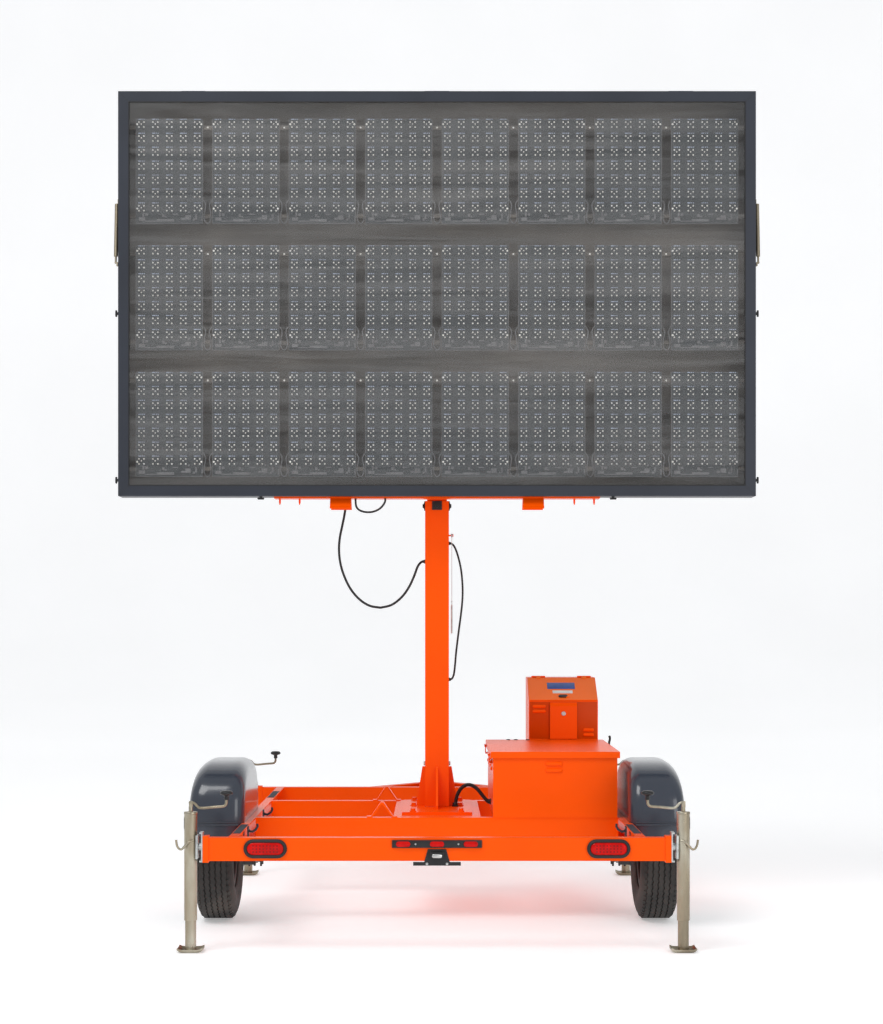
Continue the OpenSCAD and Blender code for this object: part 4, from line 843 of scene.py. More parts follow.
LOWER_LEAD = [(-285, 1394, 1520), (-230, 1406, 1534), (-180, 1416, 1572), (-142, 1424, 1624),
              (-116, 1431, 1680), (-100, 1437, 1724), (-86, 1440, 1746), (-74, 1440, 1754),
              (-68, 1440, 1754), (-60, 1440, 1754)]
CASE_LOOP = [(-402, 1172, 2058), (-402, 1172, 2044), (-399, 1172, 2020), (-388, 1172, 2004),
             (-368, 1172, 1994), (-342, 1172, 1990), (-314, 1172, 1993), (-288, 1172, 2004),
             (-268, 1172, 2022), (-256, 1172, 2044), (-256, 1172, 2058)]
# Each gland's place, the way it faces, and its size against the largest
GLANDS = [((92, 1400, 517), (0, 0, 1), 1.0), ((271, 1363, 545.5), (-1, 0, 0), 0.9),
          ((60, 1440, 1846), (1, 0, 0), 0.55), ((60, 1440, 1157), (1, 0, 0), 0.55),
          ((-60, 1440, 1754), (-1, 0, 0), 0.6)]


def cable(name, route, radius):
    bm = bmesh.new()
    add_tube(bm, smooth_path([at(*p) for p in route], 4), radius * MM, 14)
    return finish_mesh(name, bm, FINISHES["rubber"])


class TRAILER_OT_cables(bpy.types.Operator):
    """Draw the leads between display and mast, the case loop and the ribbed hose"""
    bl_idname = "trailer.cables"
    bl_label = "Cables"

    def execute(self, context):
        upper = cable("display_lead_upper", UPPER_LEAD, 6)
        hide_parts("display_cable")
        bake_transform(upper)
        lower = cable("display_lead_lower", LOWER_LEAD, 6)
        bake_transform(lower)
        show(cable("case_loop", CASE_LOOP, 5), "display", "cable_rubber")
        show(cable("mast_lead", MAST_LEAD, 5), "frame", "cable_rubber", "mast_cables")
        mesh = bpy.data.meshes.new("foot_hose")
        path = smooth_path([at(*p) for p in CONDUIT], 4)
        mesh.from_pydata(path, [(i, i + 1) for i in range(len(path) - 1)], [])
        hose = link("foot_hose", mesh, FINISHES["rubber"], smooth=False)
        repeat(hose, "hose", radius=10 * MM, rib_step=7 * MM, depth=0.16)
        show(settle(hose), "frame", "cable_rubber")
        self.glands()
        return {"FINISHED"}

    def glands(self):
        bm = bmesh.new()
        profile = [(TIP, 0), (17, 0), (17, 6), (13.5, 8), (13.5, 16), (10.5, 20), (TIP, 20)]
        for place, axis, size in GLANDS:
            scaled = mm((r * size, h * size) for r, h in profile)
            add_lathe(bm, scaled, at(*place), axis, 24)
        show(finish_mesh("cable_glands", bm, FINISHES["black_plastic"]), "frame", "cable_rubber")


# ---------- mast and frame detail ----------

BEAD_RADIUS, BEAD_STEP = 4.2 * MM, 5 * MM


def bead_row(name, count, centre):
    """A run of small overlapping weld beads."""
    bm = bmesh.new()
    bmesh.ops.create_icosphere(bm, subdivisions=1, radius=BEAD_RADIUS)
    bead = finish_mesh(name, bm, FINISHES["weld"])
    on_grid(bead, count, 1, BEAD_STEP, BEAD_STEP, centre)
    show(settle(bead), "frame", "orange_paint")


class TRAILER_OT_welds(bpy.types.Operator):
    """Draw the weld beads at the mast's foot and the rails' ends, and the mast's side bolts"""
    bl_idname = "trailer.welds"
    bl_label = "Welds"

    def execute(self, context):
        base_low, base_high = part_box("mast_base")
        mast_y = (base_low.y + base_high.y) / 2
        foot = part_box("mast_outer")[0].z
        bead_row("mast_foot_weld", 24, (0, mast_y - 61 * MM, foot + 1 * MM))
        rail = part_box("side_rails")[1]
        for side, name in HANDS:
            x = side * (rail.x - 20.5 * MM)
            bead_row(f"rail_weld_{name}", 8, (x, REAR_FACE + 51 * MM, rail.z))
        bm = bmesh.new()
        profile = [(TIP, 0), (11 * MM, 0), (11 * MM, 6 * MM), (8 * MM, 8 * MM), (TIP, 8 * MM)]
        for side in SIDES:
            add_lathe(bm, profile, at(side * 60, 1445.5, 732), (side, 0, 0), 6)
        show(finish_mesh("mast_bolts", bm, FINISHES["steel"]), "frame", "orange_paint")
        return {"FINISHED"}


# ---------- fenders ----------

# 2 makes the outline an ellipse, and more squares its shoulders
FENDER_SQUARENESS = 3.2
FENDER_INNER, FENDER_CORNER = 905 * MM, 58 * MM
FENDER_WALL = 3.5 * MM
# Height of the inner wall's foot, and how far the outer wall leans in at its top
INNER_FOOT = 503.5 * MM
OUTER_LEAN = 42 * MM
SKIRT_INNER = 930 * MM


def fender_profile(half, low, top, steps=36):
    """Rounded outline along the trailer from the rear foot over the top to the front, with normals."""
    power = 2 / FENDER_SQUARENESS
    points = []
    for i in range(steps + 1):
        a = pi * i / steps
        y = -half * copysign(abs(cos(a)) ** power, cos(a))
        points.append(Vector((y, low + (top - low) * abs(sin(a)) ** power)))
    outline = []
    for i, point in enumerate(points):
        ahead = points[min(i + 1, steps)] - points[max(i - 1, 0)]
        outline.append((point, Vector((-ahead.y, ahead.x)).normalized()))
    return outline


def fender_columns(x_in, x_out):
    """Across a fender: a place, how far the outline shrinks there, and its share of the outer lean."""
    quarter = [pi / 2 * i / 6 for i in range(7)]
    flat = x_out - x_in - 2 * FENDER_CORNER
    columns = []
    for a in quarter:
        columns.append((x_in + FENDER_CORNER * (1 - cos(a)), FENDER_CORNER * (1 - sin(a)), 0.0))
    for share in (0.2, 0.4, 0.6, 0.8):
        columns.append((x_in + FENDER_CORNER + flat * share, 0.0, share))
    for a in reversed(quarter):
        columns.append((x_out - FENDER_CORNER * (1 - cos(a)), FENDER_CORNER * (1 - sin(a)), 1.0))
    return columns


class TRAILER_OT_fenders(bpy.types.Operator):
    """Draw the moulded fenders with their foot beads, brackets and rubber skirts"""
    bl_idname = "trailer.fenders"
    bl_label = "Fenders"

    def execute(self, context):
        low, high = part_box("fenders")
        for side, name in HANDS:
            # One node holds both fenders, so only one piece stands for it
            replaced = ["fenders"] if side < 0 else []
            show(self.shell(f"fender_{name}", side, low, high), "frame", "slate_plastic", *replaced)
            self.ridge(f"fender_ridge_{name}", side, low, high)
        self.brackets(low, high)
        self.skirts(low, high)
        return {"FINISHED"}

    def shell(self, name, side, low, high):
        middle, half = (low.y + high.y) / 2, (high.y - low.y) / 2
        profile = fender_profile(half - 2 * MM, low.z, high.z - 18 * MM)
        bm = bmesh.new()
        rings = []
        for x, drop, share in fender_columns(FENDER_INNER, high.x):
            ring = []
            for point, normal in profile:
                inset = point - normal * drop
                z = max(low.z, inset.y)
                lean = share * OUTER_LEAN * ((z - low.z) / (high.z - low.z)) ** 3
                ring.append(Vector((side * (x - lean), middle + inset.x, z)))
            rings.append(ring)
        add_loft(bm, rings, closed=False, caps=False)
        self.wall(bm, rings[0], INNER_FOOT)
        self.wall(bm, rings[-1], low.z)
        bmesh.ops.remove_doubles(bm, verts=bm.verts, dist=0.2 * MM)
        bmesh.ops.dissolve_degenerate(bm, edges=bm.edges, dist=0.1 * MM)
        piece = finish_mesh(name, bm, FINISHES["slate_plastic"])
        wall = piece.modifiers.new("wall", "SOLIDIFY")
        wall.thickness = FENDER_WALL
        wall.offset = -1
        return settle(piece)

    def wall(self, bm, ring, foot):
        """An upright wall from an edge of the shell down to its foot."""
        tops = [Vector((p.x, p.y, max(p.z, foot))) for p in ring]
        feet = [Vector((p.x, p.y, foot)) for p in ring]
        for i in range(len(ring) - 1):
            if max(tops[i].z, tops[i + 1].z) - foot < 0.1 * MM:
                continue
            bm.faces.new([bm.verts.new(p) for p in (tops[i], tops[i + 1], feet[i + 1], feet[i])])

    def ridge(self, name, side, low, high):
        """The double bead around the fender's foot."""
        bm = bmesh.new()
        for z, radius in ((498, 4.0), (510, 2.6)):
            for end in (low.y + 1.2 * MM, high.y - 1.2 * MM):
                add_tube(bm, straight((side * SKIRT_INNER, end, z * MM),
                                      (side * (high.x - 48 * MM), end, z * MM)), radius * MM, 10)
            x = side * (high.x - 0.8 * MM)
            add_tube(bm, straight((x, low.y + 60 * MM, z * MM), (x, high.y - 60 * MM, z * MM)),
                     radius * MM, 10)
        show(finish_mesh(name, bm, FINISHES["slate_plastic"]), "frame", "slate_plastic")

    def brackets(self, low, high):
        bm = bmesh.new()
        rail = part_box("side_rails")[1]
        for side in SIDES:
            for y in (low.y + 90 * MM, high.y - 130 * MM):
                add_block(bm, *on_side(side, (rail.x, y, rail.z - 60 * MM),
                                       (rail.x + 5 * MM, y + 40 * MM, rail.z + 60 * MM)), 1 * MM)
        show(finish_mesh("fender_brackets", bm, FINISHES["black_paint"]), "frame", "slate_plastic")

    def skirts(self, low, high):
        """Black rubber flaps below each end of a fender."""
        bm = bmesh.new()
        for side in SIDES:
            for y in (low.y + 5 * MM, high.y - 10 * MM):
                add_block(bm, *on_side(side, (SKIRT_INNER, y, low.z - 48 * MM),
                                       (high.x - 14 * MM, y + 5 * MM, low.z + 8 * MM)), 1 * MM)
        show(finish_mesh("fender_skirts", bm, FINISHES["rubber"]), "frame", "slate_plastic")


# ---------- wheels ----------

# A tyre's sizes in millimetres, and its middle's distance from the trailer's centre line
TYRE_RADIUS, TREAD_WIDTH = 345, 136
WHEEL_MIDDLE = 1062 * MM
WHEEL_NUTS = 6


class TRAILER_OT_wheels(bpy.types.Operator):
    """Draw the tyres with their zigzag ribs, and the dished rims with their nuts"""
    bl_idname = "trailer.wheels"
    bl_label = "Wheels"

    def execute(self, context):
        values = context.scene.sign_trailer.tyre
        for side, name in HANDS:
            node = f"wheel_{name}"
            low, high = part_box(node)
            centre = Vector((side * WHEEL_MIDDLE, (low.y + high.y) / 2, (low.z + high.z) / 2))
            show(self.casing(f"tyre_{name}", centre, values), node, "tyre_rubber", node)
            show(self.tread(f"tread_{name}", centre, values), node, "tyre_rubber")
            show(self.rim(f"rim_{name}", centre, side), node, "steel")
            show(self.nuts(f"wheel_nuts_{name}", centre, side), node, "steel")
        return {"FINISHED"}

    def casing(self, name, centre, values):
        deep = TYRE_RADIUS - values.groove / MM
        outline = [(197, -66), (200, -76), (210, -82), (222, -83), (240, -90), (262, -93.5), (284, -94),
                   (300, -91), (316, -86), (328, -79), (deep - 1, -70), (deep, -60)]
        outline = outline + [(r, -x) for r, x in reversed(outline)]
        bm = bmesh.new()
        profile = mm(outline)
        add_lathe(bm, profile + profile[:1], centre, (1, 0, 0), 96)
        return finish_mesh(name, bm, FINISHES["tyre_rubber"])

    def tread(self, name, centre, values):
        """One zigzag of every rib, repeated around the wheel; shoulder lugs stand beside them."""
        length = tau * (TYRE_RADIUS - 1) / values.zigzags
        base, face = TYRE_RADIUS - values.groove / MM - 1, TYRE_RADIUS - 0.4
        pitch = TREAD_WIDTH / values.ribs
        half_width, swing = 0.37 * pitch, 2.4
        bm = bmesh.new()
        for rib in range(values.ribs):
            middle = (rib - (values.ribs - 1) / 2) * pitch
            for start, slant in ((-0.5, swing), (0.0, -swing)):
                y0, y1 = start * length, (start + 0.5) * length
                x0, x1 = middle - slant, middle + slant
                ring = [(x0 - half_width, y0), (x0 + half_width, y0),
                        (x1 + half_width, y1), (x1 - half_width, y1)]
                add_loft(bm, [[Vector((x, y, base)) * MM for x, y in ring],
                              [Vector((x, y, face)) * MM for x, y in ring]])
        shoulder = TREAD_WIDTH / 2
        for side in SIDES:
            inner, outer = side * shoulder, side * (shoulder + 10)
            ring = [(inner, -0.3 * length), (inner, 0.25 * length), (outer, 0.25 * length),
                    (outer, -0.3 * length)]
            add_loft(bm, [[Vector((x, y, 326)) * MM for x, y in ring],
                          [Vector((x * 0.99, y, 341 - 0.6 * (abs(x) - shoulder))) * MM for x, y in ring]])
        piece = finish_mesh(name, bm, FINISHES["tyre_rubber"], smooth=False)
        repeat(piece, "ring", count=values.zigzags, centre=tuple(centre))
        return settle(piece, smooth=False)

    def rim(self, name, centre, side):
        """The barrel, its two flanges, the disc and the hub, as one turned shape."""
        outline = [(22.5, -60), (45, -60), (52, -50), (54, -10), (90, 0), (130, 6), (150, 4), (166, 14),
                   (168, -40), (176, -62), (184, -68), (204, -72), (207, -78), (211, -79), (211, -75),
                   (198, -66), (190, -60), (174, -30), (174, 30), (190, 60), (198, 66), (211, 75), (211, 79),
                   (207, 78), (204, 72), (184, 68), (172, 40), (168, 24), (150, 12), (130, 14), (90, 8),
                   (48, 6), (46, 62), (34, 68), (22.5, 68)]
        bm = bmesh.new()
        profile = mm((r, side * x) for r, x in outline)
        add_lathe(bm, profile + profile[:1], centre, (1, 0, 0), 72)
        return finish_mesh(name, bm, FINISHES["black_paint"])

    def nuts(self, name, centre, side):
        bm = bmesh.new()
        profile = [(TIP, 6), (11, 6), (11, 20), (8, 25), (TIP, 26)]
        add_lathe(bm, mm(profile), (0, 0, 76 * MM), (side, 0, 0), 12)
        piece = finish_mesh(name, bm, FINISHES["steel"])
        repeat(piece, "ring", count=WHEEL_NUTS, centre=tuple(centre))
        return settle(piece)


# ---------- jacks ----------

JACKS = (1, 2, 3, 4)
# How far the crank's knob stands from the jack's axis
CRANK_REACH = 157


class TRAILER_OT_jacks(bpy.types.Operator):
    """Draw the four swivel jacks: tube with its hook, leg with its dished foot, plate and crank"""
    bl_idname = "trailer.jacks"
    bl_label = "Jacks"

    def execute(self, context):
        for number in JACKS:
            low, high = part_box(f"jack_leg_{number}")
            centre = (low + high) / 2
            side = -1 if centre.x < 0 else 1
            place = Vector((centre.x, centre.y, 0))
            show(self.tube(f"jack_post_{number}", place, side), f"jack_tube_{number}", "zinc_plate",
                 f"jack_tube_{number}")
            show(self.leg(f"jack_foot_{number}", place), f"jack_leg_{number}", "zinc_plate",
                 f"jack_leg_{number}")
            show(self.arm(f"crank_arm_{number}", place, side), f"jack_crank_{number}", "zinc_plate",
                 f"jack_crank_{number}")
            show(self.knob(f"crank_knob_{number}", place, side), f"jack_crank_{number}", "zinc_plate")
            show(self.sleeve(f"jack_plate_{number}", place, side), f"jack_tube_{number}", "zinc_plate")
        return {"FINISHED"}

    def tube(self, name, place, side):
        bm = bmesh.new()
        outer, inner = 28.5, 24.5
        profile = [(inner, 139), (outer - 1, 138), (outer, 140), (outer, 603), (outer + 1.5, 605),
                   (outer + 1.5, 612), (outer, 615), (12, 616), (10, 614), (TIP, 614)]
        add_lathe(bm, mm(profile), place, steps=40)
        lip = [(inner, 139), (inner, 600), (TIP, 600)]
        add_lathe(bm, mm(lip), place, steps=40)
        bend = [(-12, -27.5, 491), (4, -35.5, 485), (24, -35.5, 465), (36, -35.5, 453), (48, -35.5, 457),
                (56, -35.5, 471), (60, -35.5, 495)]
        path = smooth_path([place + Vector((side * x, y, z)) * MM for x, y, z in bend], 5)
        add_tube(bm, path, 5 * MM, 12)
        return finish_mesh(name, bm, FINISHES["zinc"])

    def sleeve(self, name, place, side):
        """The swivel plate between the tube and its mount, and the blank label on the tube."""
        bm = bmesh.new()
        for corners, bevel in ((((-34.2, -30, 409), (-24, 30, 513)), 2 * MM),
                               (((28.4, -9, 540), (28.9, 9, 590)), 0.1 * MM)):
            low, high = on_side(side, *corners)
            add_block(bm, place + low * MM, place + high * MM, bevel)
        return finish_mesh(name, bm, FINISHES["galvanised"])

    def leg(self, name, place):
        """A tube on a square foot whose edge curls up."""
        bm = bmesh.new()
        profile = [(TIP, 5.5), (24.4, 5.5), (24.4, 467), (20.4, 467), (20.4, 12), (TIP, 12)]
        add_lathe(bm, mm(profile), place, steps=40)
        half, count = 57.5, 20
        grid = []
        for j in range(count + 1):
            v = 2 * j / count - 1
            row = []
            for i in range(count + 1):
                u = 2 * i / count - 1
                rim = max(0.0, (abs(u) ** 6 + abs(v) ** 6) ** (1 / 6) - 0.68) / 0.32
                round_off = 1 - 0.05 * (u * v) ** 4
                row.append(Vector((half * u * round_off, half * v * round_off, 11 * rim ** 1.6)) * MM)
            grid.append(row)
        top = [[place + p + Vector((0, 0, 5 * MM)) for p in row] for row in grid]
        bottom = [[place + p for p in row] for row in grid]
        add_loft(bm, top, closed=False, caps=False)
        add_loft(bm, bottom, closed=False, caps=False)
        edge = [(0, i) for i in range(count)] + [(i, count) for i in range(count)]
        edge += [(count, count - i) for i in range(count)] + [(count - i, 0) for i in range(count)]
        add_loft(bm, [[bottom[j][i] for j, i in edge], [top[j][i] for j, i in edge]], caps=False)
        return finish_mesh(name, bm, FINISHES["zinc"])

    def arm(self, name, place, side):
        bm = bmesh.new()
        profile = [(TIP, 615.5), (9, 615.5), (9, 636), (7, 640), (TIP, 640)]
        add_lathe(bm, mm(profile), place, steps=20)
        for x in SIDES:
            add_block(bm, place + Vector((-7, x * 7 - 1.5, 636)) * MM,
                      place + Vector((9, x * 7 + 1.5, 661)) * MM, 1 * MM)
        bend = [(8, 653), (-6, 655), (-18, 650), (-28, 639), (-38, 632), (-60, 631), (-100, 635), (-140, 638),
                (-150, 642), (-156, 651), (-CRANK_REACH, 666)]
        path = smooth_path([place + Vector((side * x, 0, z)) * MM for x, z in bend], 5)
        add_tube(bm, path, 5.8 * MM, 14)
        return finish_mesh(name, bm, FINISHES["zinc"])

    def knob(self, name, place, side):
        bm = bmesh.new()
        profile = [(TIP, 667), (10, 667), (11, 671), (9.5, 682), (12, 686), (24, 689), (28, 693), (28.5, 698),
                   (26, 703), (20, 706.5), (10, 707.8), (TIP, 708)]
        middle = place + Vector((-side * CRANK_REACH * MM, 0, 0))
        add_lathe(bm, mm(profile), middle, steps=32)
        return finish_mesh(name, bm, FINISHES["black_plastic"])


# ---------- lights ----------

TAIL_X, TAIL_Z = 752, 455
BAR_Z, BAR_HALF = 476, (197, 17)
# The step across and up of what has a single row or column
NO_STEP = 0.0


class TRAILER_OT_lights(bpy.types.Operator):
    """Draw the oval tail lights in their grommets, the marker bar and the plate lamp"""
    bl_idname = "trailer.lights"
    bl_label = "Lights"

    def execute(self, context):
        grommets, bar, lenses = bmesh.new(), bmesh.new(), bmesh.new()
        for side in SIDES:
            middle = at(side * TAIL_X, 0, TAIL_Z)
            add_pad(grommets, middle, 190 * MM, 83 * MM,
                    mm([(0, 0), (0, 9), (3, 13), (9, 15.5), (13, 13), (15, 8)]))
            add_pad(lenses, middle, 160 * MM, 54 * MM, mm([(0, 6), (0, 11), (2, 13.5), (6, 15), (16, 15.6)]))
        show(finish_mesh("tail_grommets", grommets, FINISHES["rubber"]), "frame", "red_lens", "rear_lights")
        middle = at(0, 0, BAR_Z)
        x, z = BAR_HALF
        add_block(bar, middle + Vector((-x, -10, -z)) * MM, middle + Vector((x, 0, z)) * MM, 2 * MM)
        show(finish_mesh("marker_bar", bar, FINISHES["black_plastic"]), "frame", "red_lens")
        for x in (-148, 0, 148):
            add_pad(lenses, at(x, 0, BAR_Z), 63 * MM, 24 * MM, mm([(0, 9), (0, 16), (2, 18.5), (7, 19.6)]))
        show(finish_mesh("red_lenses", lenses, FINISHES["red_lens"]), "frame", "red_lens")
        dots = rear_head("tail_dots", [(3.4 * MM, 0), (2.6 * MM, 0.9 * MM), (TIP, 1.2 * MM)], "red_lamp", 10)
        on_grid(dots, 8, 3, 15 * MM, 13 * MM, (0, 0, 0))
        on_grid(dots, 2, 1, 2 * TAIL_X * MM, NO_STEP, at(0, -15.4, TAIL_Z))
        show(settle(dots), "frame", "red_lens")
        rivets = rear_head("bar_rivets", [(4.5 * MM, 0), (3.6 * MM, 2 * MM), (TIP, 2.8 * MM)], "steel", 12)
        on_grid(rivets, 2, 1, 188 * MM, NO_STEP, at(0, -10, BAR_Z))
        show(settle(rivets), "frame", "red_lens")
        self.plate_lamp()
        return {"FINISHED"}

    def plate_lamp(self):
        """The lamp over the number plate's bracket, and the bracket's two screws."""
        bm = bmesh.new()
        add_pad(bm, at(0, -24, 425), 44 * MM, 16 * MM, [(0, 0), (0, 3 * MM), (3 * MM, 5 * MM)])
        for x in (-44, 44):
            add_lathe(bm, [(7 * MM, 0), (6 * MM, 3.6 * MM), (TIP, 4.4 * MM)], at(x, -4, 389), (0, -1, 0), 6)
        show(finish_mesh("plate_lamp", bm, FINISHES["steel"]), "frame", "black_plastic")


# ---------- cabinets ----------

# How far the cabinet's flap leans back from level, and how thick it is
SLOPE = 0.5083
FLAP_TOP = 3.4 * MM
# The cabinet's middle and its rear face, as at() takes them
CABINET_X, CABINET_Y = 674, 1998
BOX_LOUVRE = (84 * MM, 22 * MM, 9 * MM)


def louvres(name, columns, rows, step_x, step_z, centre, size):
    """Pressed louvres; size is one louvre's length, height and how far it stands out."""
    length, height, out = size
    bm = bmesh.new()
    layers = [(0, 0), (0.04, 0.4), (0.14, 0.75), (0.28, 0.94), (0.4, 1)]
    add_pad(bm, (0, 0, 0), length, height, [(a * height, b * out) for a, b in layers])
    piece = finish_mesh(name, bm, FINISHES["orange_paint"])
    on_grid(piece, columns, rows, step_x, step_z, centre)
    return settle(piece)


def on_slope():
    """From across, up and out of the cabinet's sloping flap, about the middle of its foot."""
    return Matrix.Translation(at(CABINET_X, CABINET_Y, 1029)) @ Matrix.Rotation(SLOPE, 4, "X")


class TRAILER_OT_cabinets(bpy.types.Operator):
    """Draw the louvres, plugs, labels and locks of the battery box and control cabinet"""
    bl_idname = "trailer.cabinets"
    bl_label = "Cabinets"

    def execute(self, context):
        box_low, box_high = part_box("battery_box")
        lid_low, lid_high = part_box("battery_lid")
        rear = Vector((565 * MM, REAR_FACE + 940 * MM, lid_low.z - 44 * MM))
        show(louvres("box_louvres", 1, 2, NO_STEP, 32 * MM, rear, BOX_LOUVRE), "frame", "orange_paint")
        side = louvres("side_louvres", 4, 2, 200 * MM, 34 * MM, (0, 0, 0), BOX_LOUVRE)
        side.data.transform(Matrix.Rotation(-pi / 2, 4, "Z"))
        side.data.transform(Matrix.Translation((271 * MM, (box_low.y + box_high.y) / 2, lid_low.z - 46 * MM)))
        show(side, "frame", "orange_paint")
        for name, x, z, width in (("left", 545, 985, 72), ("right", 808, 860, 58)):
            made = louvres(f"cabinet_louvres_{name}", 1, 2, NO_STEP, 26 * MM, at(x, CABINET_Y, z),
                           (width * MM, 18 * MM, 7 * MM))
            show(made, "frame", "orange_paint")
        self.plugs(lid_high)
        self.slope_detail()
        self.rear_cover()
        self.lever()
        return {"FINISHED"}

    def plugs(self, lid_high):
        """The round plugs in the battery box's lid."""
        bm = bmesh.new()
        for x, y in ((378, 1945), (418, 1945), (481, 1935)):
            add_lathe(bm, [(TIP, 0), (11 * MM, 0), (9 * MM, 4 * MM), (TIP, 5 * MM)],
                      Vector((x * MM, REAR_FACE + y * MM, lid_high.z)), steps=20)
        show(finish_mesh("lid_plugs", bm, FINISHES["black_plastic"]), "battery_lid", "black_plastic")

    def slope_detail(self):
        """The lock and two blank labels on the cabinet's sloping flap."""
        for name, look, (x, y, length, height), thick in (
                ("flap_lock", "black_plastic", (0, 36, 49, 23), 7),
                ("flap_label", "blue_label", (-6, 147, 149, 66), 0.5),
                ("flap_note", "label", (0, 84, 107, 30), 0.5)):
            bm = bmesh.new()
            if name == "flap_lock":
                add_pad(bm, (0, 0, 0), length * MM, height * MM, mm([(0, 0), (0, 4), (2, thick), (5, thick)]))
                bmesh.ops.rotate(bm, matrix=Matrix.Rotation(-pi / 2, 3, "X"), verts=bm.verts, cent=(0, 0, 0))
            else:
                corner = Vector((length / 2, height / 2, 0)) * MM
                add_block(bm, -corner, corner + Vector((0, 0, thick * MM)), 0.15 * MM)
            bmesh.ops.translate(bm, vec=(x * MM, y * MM, FLAP_TOP), verts=bm.verts)
            piece = finish_mesh(name, bm, FINISHES[look])
            piece.data.transform(on_slope())
            show(piece, "cabinet_flap", "orange_paint")

    def rear_cover(self):
        """A darker sheet on the rear face as painted shade under the flap's overhang, and the raised cover
        with its bevelled head and round lock.
        """
        bm = bmesh.new()
        # A thin darker sheet over the rear face: painted shade under the flap's overhang
        low, high = at(CABINET_X - 180, CABINET_Y, 826), at(CABINET_X + 180, CABINET_Y, 1022)
        add_block(bm, (low.x, low.y - 0.8 * MM, low.z), (high.x, low.y, high.z), 0.2 * MM)
        show(finish_mesh("cabinet_face", bm, FINISHES["orange_shade"]), "frame", "orange_paint")
        bm = bmesh.new()
        outline = [(0, 826), (15, 826), (15, 1000), (4, 1020), (0, 1020)]
        rings = [[at(x, CABINET_Y - out, z) for out, z in outline] for x in (CABINET_X - 72, CABINET_X + 72)]
        add_loft(bm, rings)
        show(finish_mesh("rear_cover", bm, FINISHES["orange_paint"], smooth=False), "frame", "orange_paint")
        bm = bmesh.new()
        profile = [(TIP, 0), (12, 0), (12, 2.5), (10, 4), (TIP, 4)]
        add_lathe(bm, mm(profile), at(CABINET_X, CABINET_Y - 15, 960), (0, -1, 0), 24)
        show(finish_mesh("cover_lock", bm, FINISHES["steel"]), "frame", "orange_paint")

    def lever(self):
        """The black rubber pull of the lid's latch."""
        low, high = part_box("lid_latch")
        y, x = (low.y + high.y) / 2, high.x
        bm = bmesh.new()
        path = [(x - 3 * MM, y, high.z - 22 * MM), (x, y, high.z + 8 * MM), (x + 4 * MM, y, high.z + 28 * MM),
                (x + 1 * MM, y, high.z + 44 * MM)]
        add_tube(bm, smooth_path(path, 5), 6 * MM, 12)
        show(finish_mesh("latch_pull", bm, FINISHES["rubber"]), "lid_latch", "black_plastic")


# ---------- stage ----------

# The eye's distance behind the rear beam, and its height
EYE_BACK, EYE_HEIGHT = 9.195, 1.448
# The floor's reach to each side, where it starts to rise, the bend's radius and the wall's height
FLOOR_REACH, FLOOR_BACK, BEND, WALL = 40.0, 14.0, 6.0, 30.0
LAMP_SIZE = 5.0
LIT_POINT = Vector((0, -0.5, 1.8))
FILL_SHARE = 0.45


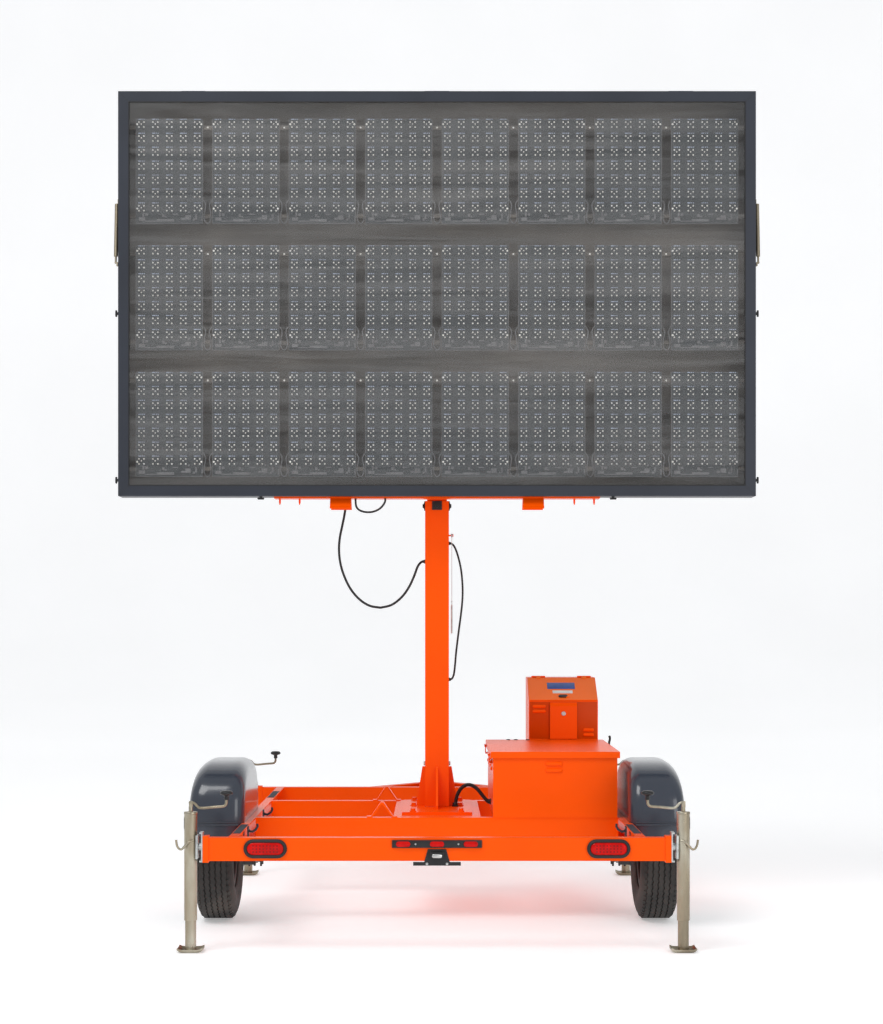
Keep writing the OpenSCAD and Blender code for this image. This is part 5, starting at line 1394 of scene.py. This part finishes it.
class TRAILER_OT_stage(bpy.types.Operator):
    """Set the pale floor, the soft studio light and the camera"""
    bl_idname = "trailer.stage"
    bl_label = "Stage"

    def execute(self, context):
        values = context.scene.sign_trailer.stage
        scene = context.scene
        scene.view_settings.view_transform = "Standard"
        world = bpy.data.worlds.new("pale_surround")
        world.use_nodes = True
        sky = world.node_tree.nodes["Background"]
        sky.inputs["Color"].default_value = (0.95, 0.97, 1.0, 1)
        sky.inputs["Strength"].default_value = values.sky
        scene.world = world
        bm = bmesh.new()
        rows = [(-FLOOR_REACH, 0.0), (FLOOR_BACK, 0.0)]
        for i in range(1, 9):
            a = pi / 2 * i / 8
            rows.append((FLOOR_BACK + BEND * sin(a), BEND * (1 - cos(a))))
        rows.append((FLOOR_BACK + BEND, WALL))
        add_loft(bm, [[Vector((-FLOOR_REACH, y, z)), Vector((FLOOR_REACH, y, z))] for y, z in rows],
                 closed=False, caps=False)
        pale = finish("pale_floor", (0.86, 0.86, 0.86), (0.6, 0.8), vary=0.02, patch=0.5, grain=20, bump=0.01)
        glow = pale.node_tree.nodes["Principled BSDF"].inputs
        glow["Emission Color"].default_value = (1, 1, 1, 1)
        glow["Emission Strength"].default_value = values.glow
        floor = finish_mesh("floor", bm, pale)
        self.light("key", (-4.5, -7.0, 10.0), values.sun)
        self.light("fill", (6.0, -9.5, 3.5), FILL_SHARE * values.sun)
        eye = bpy.data.cameras.new("eye")
        eye.lens = values.lens
        eye.sensor_width = 36
        eye.clip_end = 200
        eye.shift_x, eye.shift_y = values.shift
        camera = bpy.data.objects.new("eye", eye)
        camera.location = (0, REAR_FACE - EYE_BACK, EYE_HEIGHT)
        camera.rotation_euler = (pi / 2, 0, 0)
        scene.collection.objects.link(camera)
        scene.camera = camera
        return {"FINISHED"}

    def light(self, name, place, power):
        """A large soft lamp that looks at the trailer."""
        lamp = bpy.data.lights.new(name, "AREA")
        lamp.energy = power
        lamp.size = LAMP_SIZE
        holder = bpy.data.objects.new(name, lamp)
        holder.location = place
        aim = LIT_POINT - Vector(place)
        holder.rotation_euler = aim.to_track_quat("-Z", "Y").to_euler()
        bpy.context.scene.collection.objects.link(holder)


STEPS = [TRAILER_OT_stage, TRAILER_OT_finishes, TRAILER_OT_cables, TRAILER_OT_boards, TRAILER_OT_window,
         TRAILER_OT_knobs, TRAILER_OT_welds, TRAILER_OT_fenders, TRAILER_OT_wheels, TRAILER_OT_jacks,
         TRAILER_OT_lights, TRAILER_OT_cabinets]


class TRAILER_PT_panel(bpy.types.Panel):
    """Lists the pieces and the sizes that they take"""
    bl_idname = "TRAILER_PT_panel"
    bl_label = "Sign Trailer"
    bl_space_type = "VIEW_3D"
    bl_region_type = "UI"
    bl_category = "Sign Trailer"

    def draw(self, context):
        settings = context.scene.sign_trailer
        for group in (settings.paint, settings.display, settings.tyre, settings.stage):
            box = self.layout.box()
            for name in group.__annotations__:
                box.prop(group, name)
        for step in STEPS:
            self.layout.operator(step.bl_idname)


CLASSES = [PaintSettings, DisplaySettings, TyreSettings, StageSettings, TrailerSettings, *STEPS,
           TRAILER_PT_panel]


def register():
    for item in CLASSES:
        bpy.utils.register_class(item)
    bpy.types.Scene.sign_trailer = PointerProperty(type=TrailerSettings)


def unregister():
    del bpy.types.Scene.sign_trailer
    for item in reversed(CLASSES):
        bpy.utils.unregister_class(item)


def main():
    register()
    for step in STEPS:
        group, name = step.bl_idname.split(".")
        if getattr(getattr(bpy.ops, group), name)() != {"FINISHED"}:
            raise RuntimeError(f"{step.bl_label} was not finished")


if __name__ == "__main__":
    main()
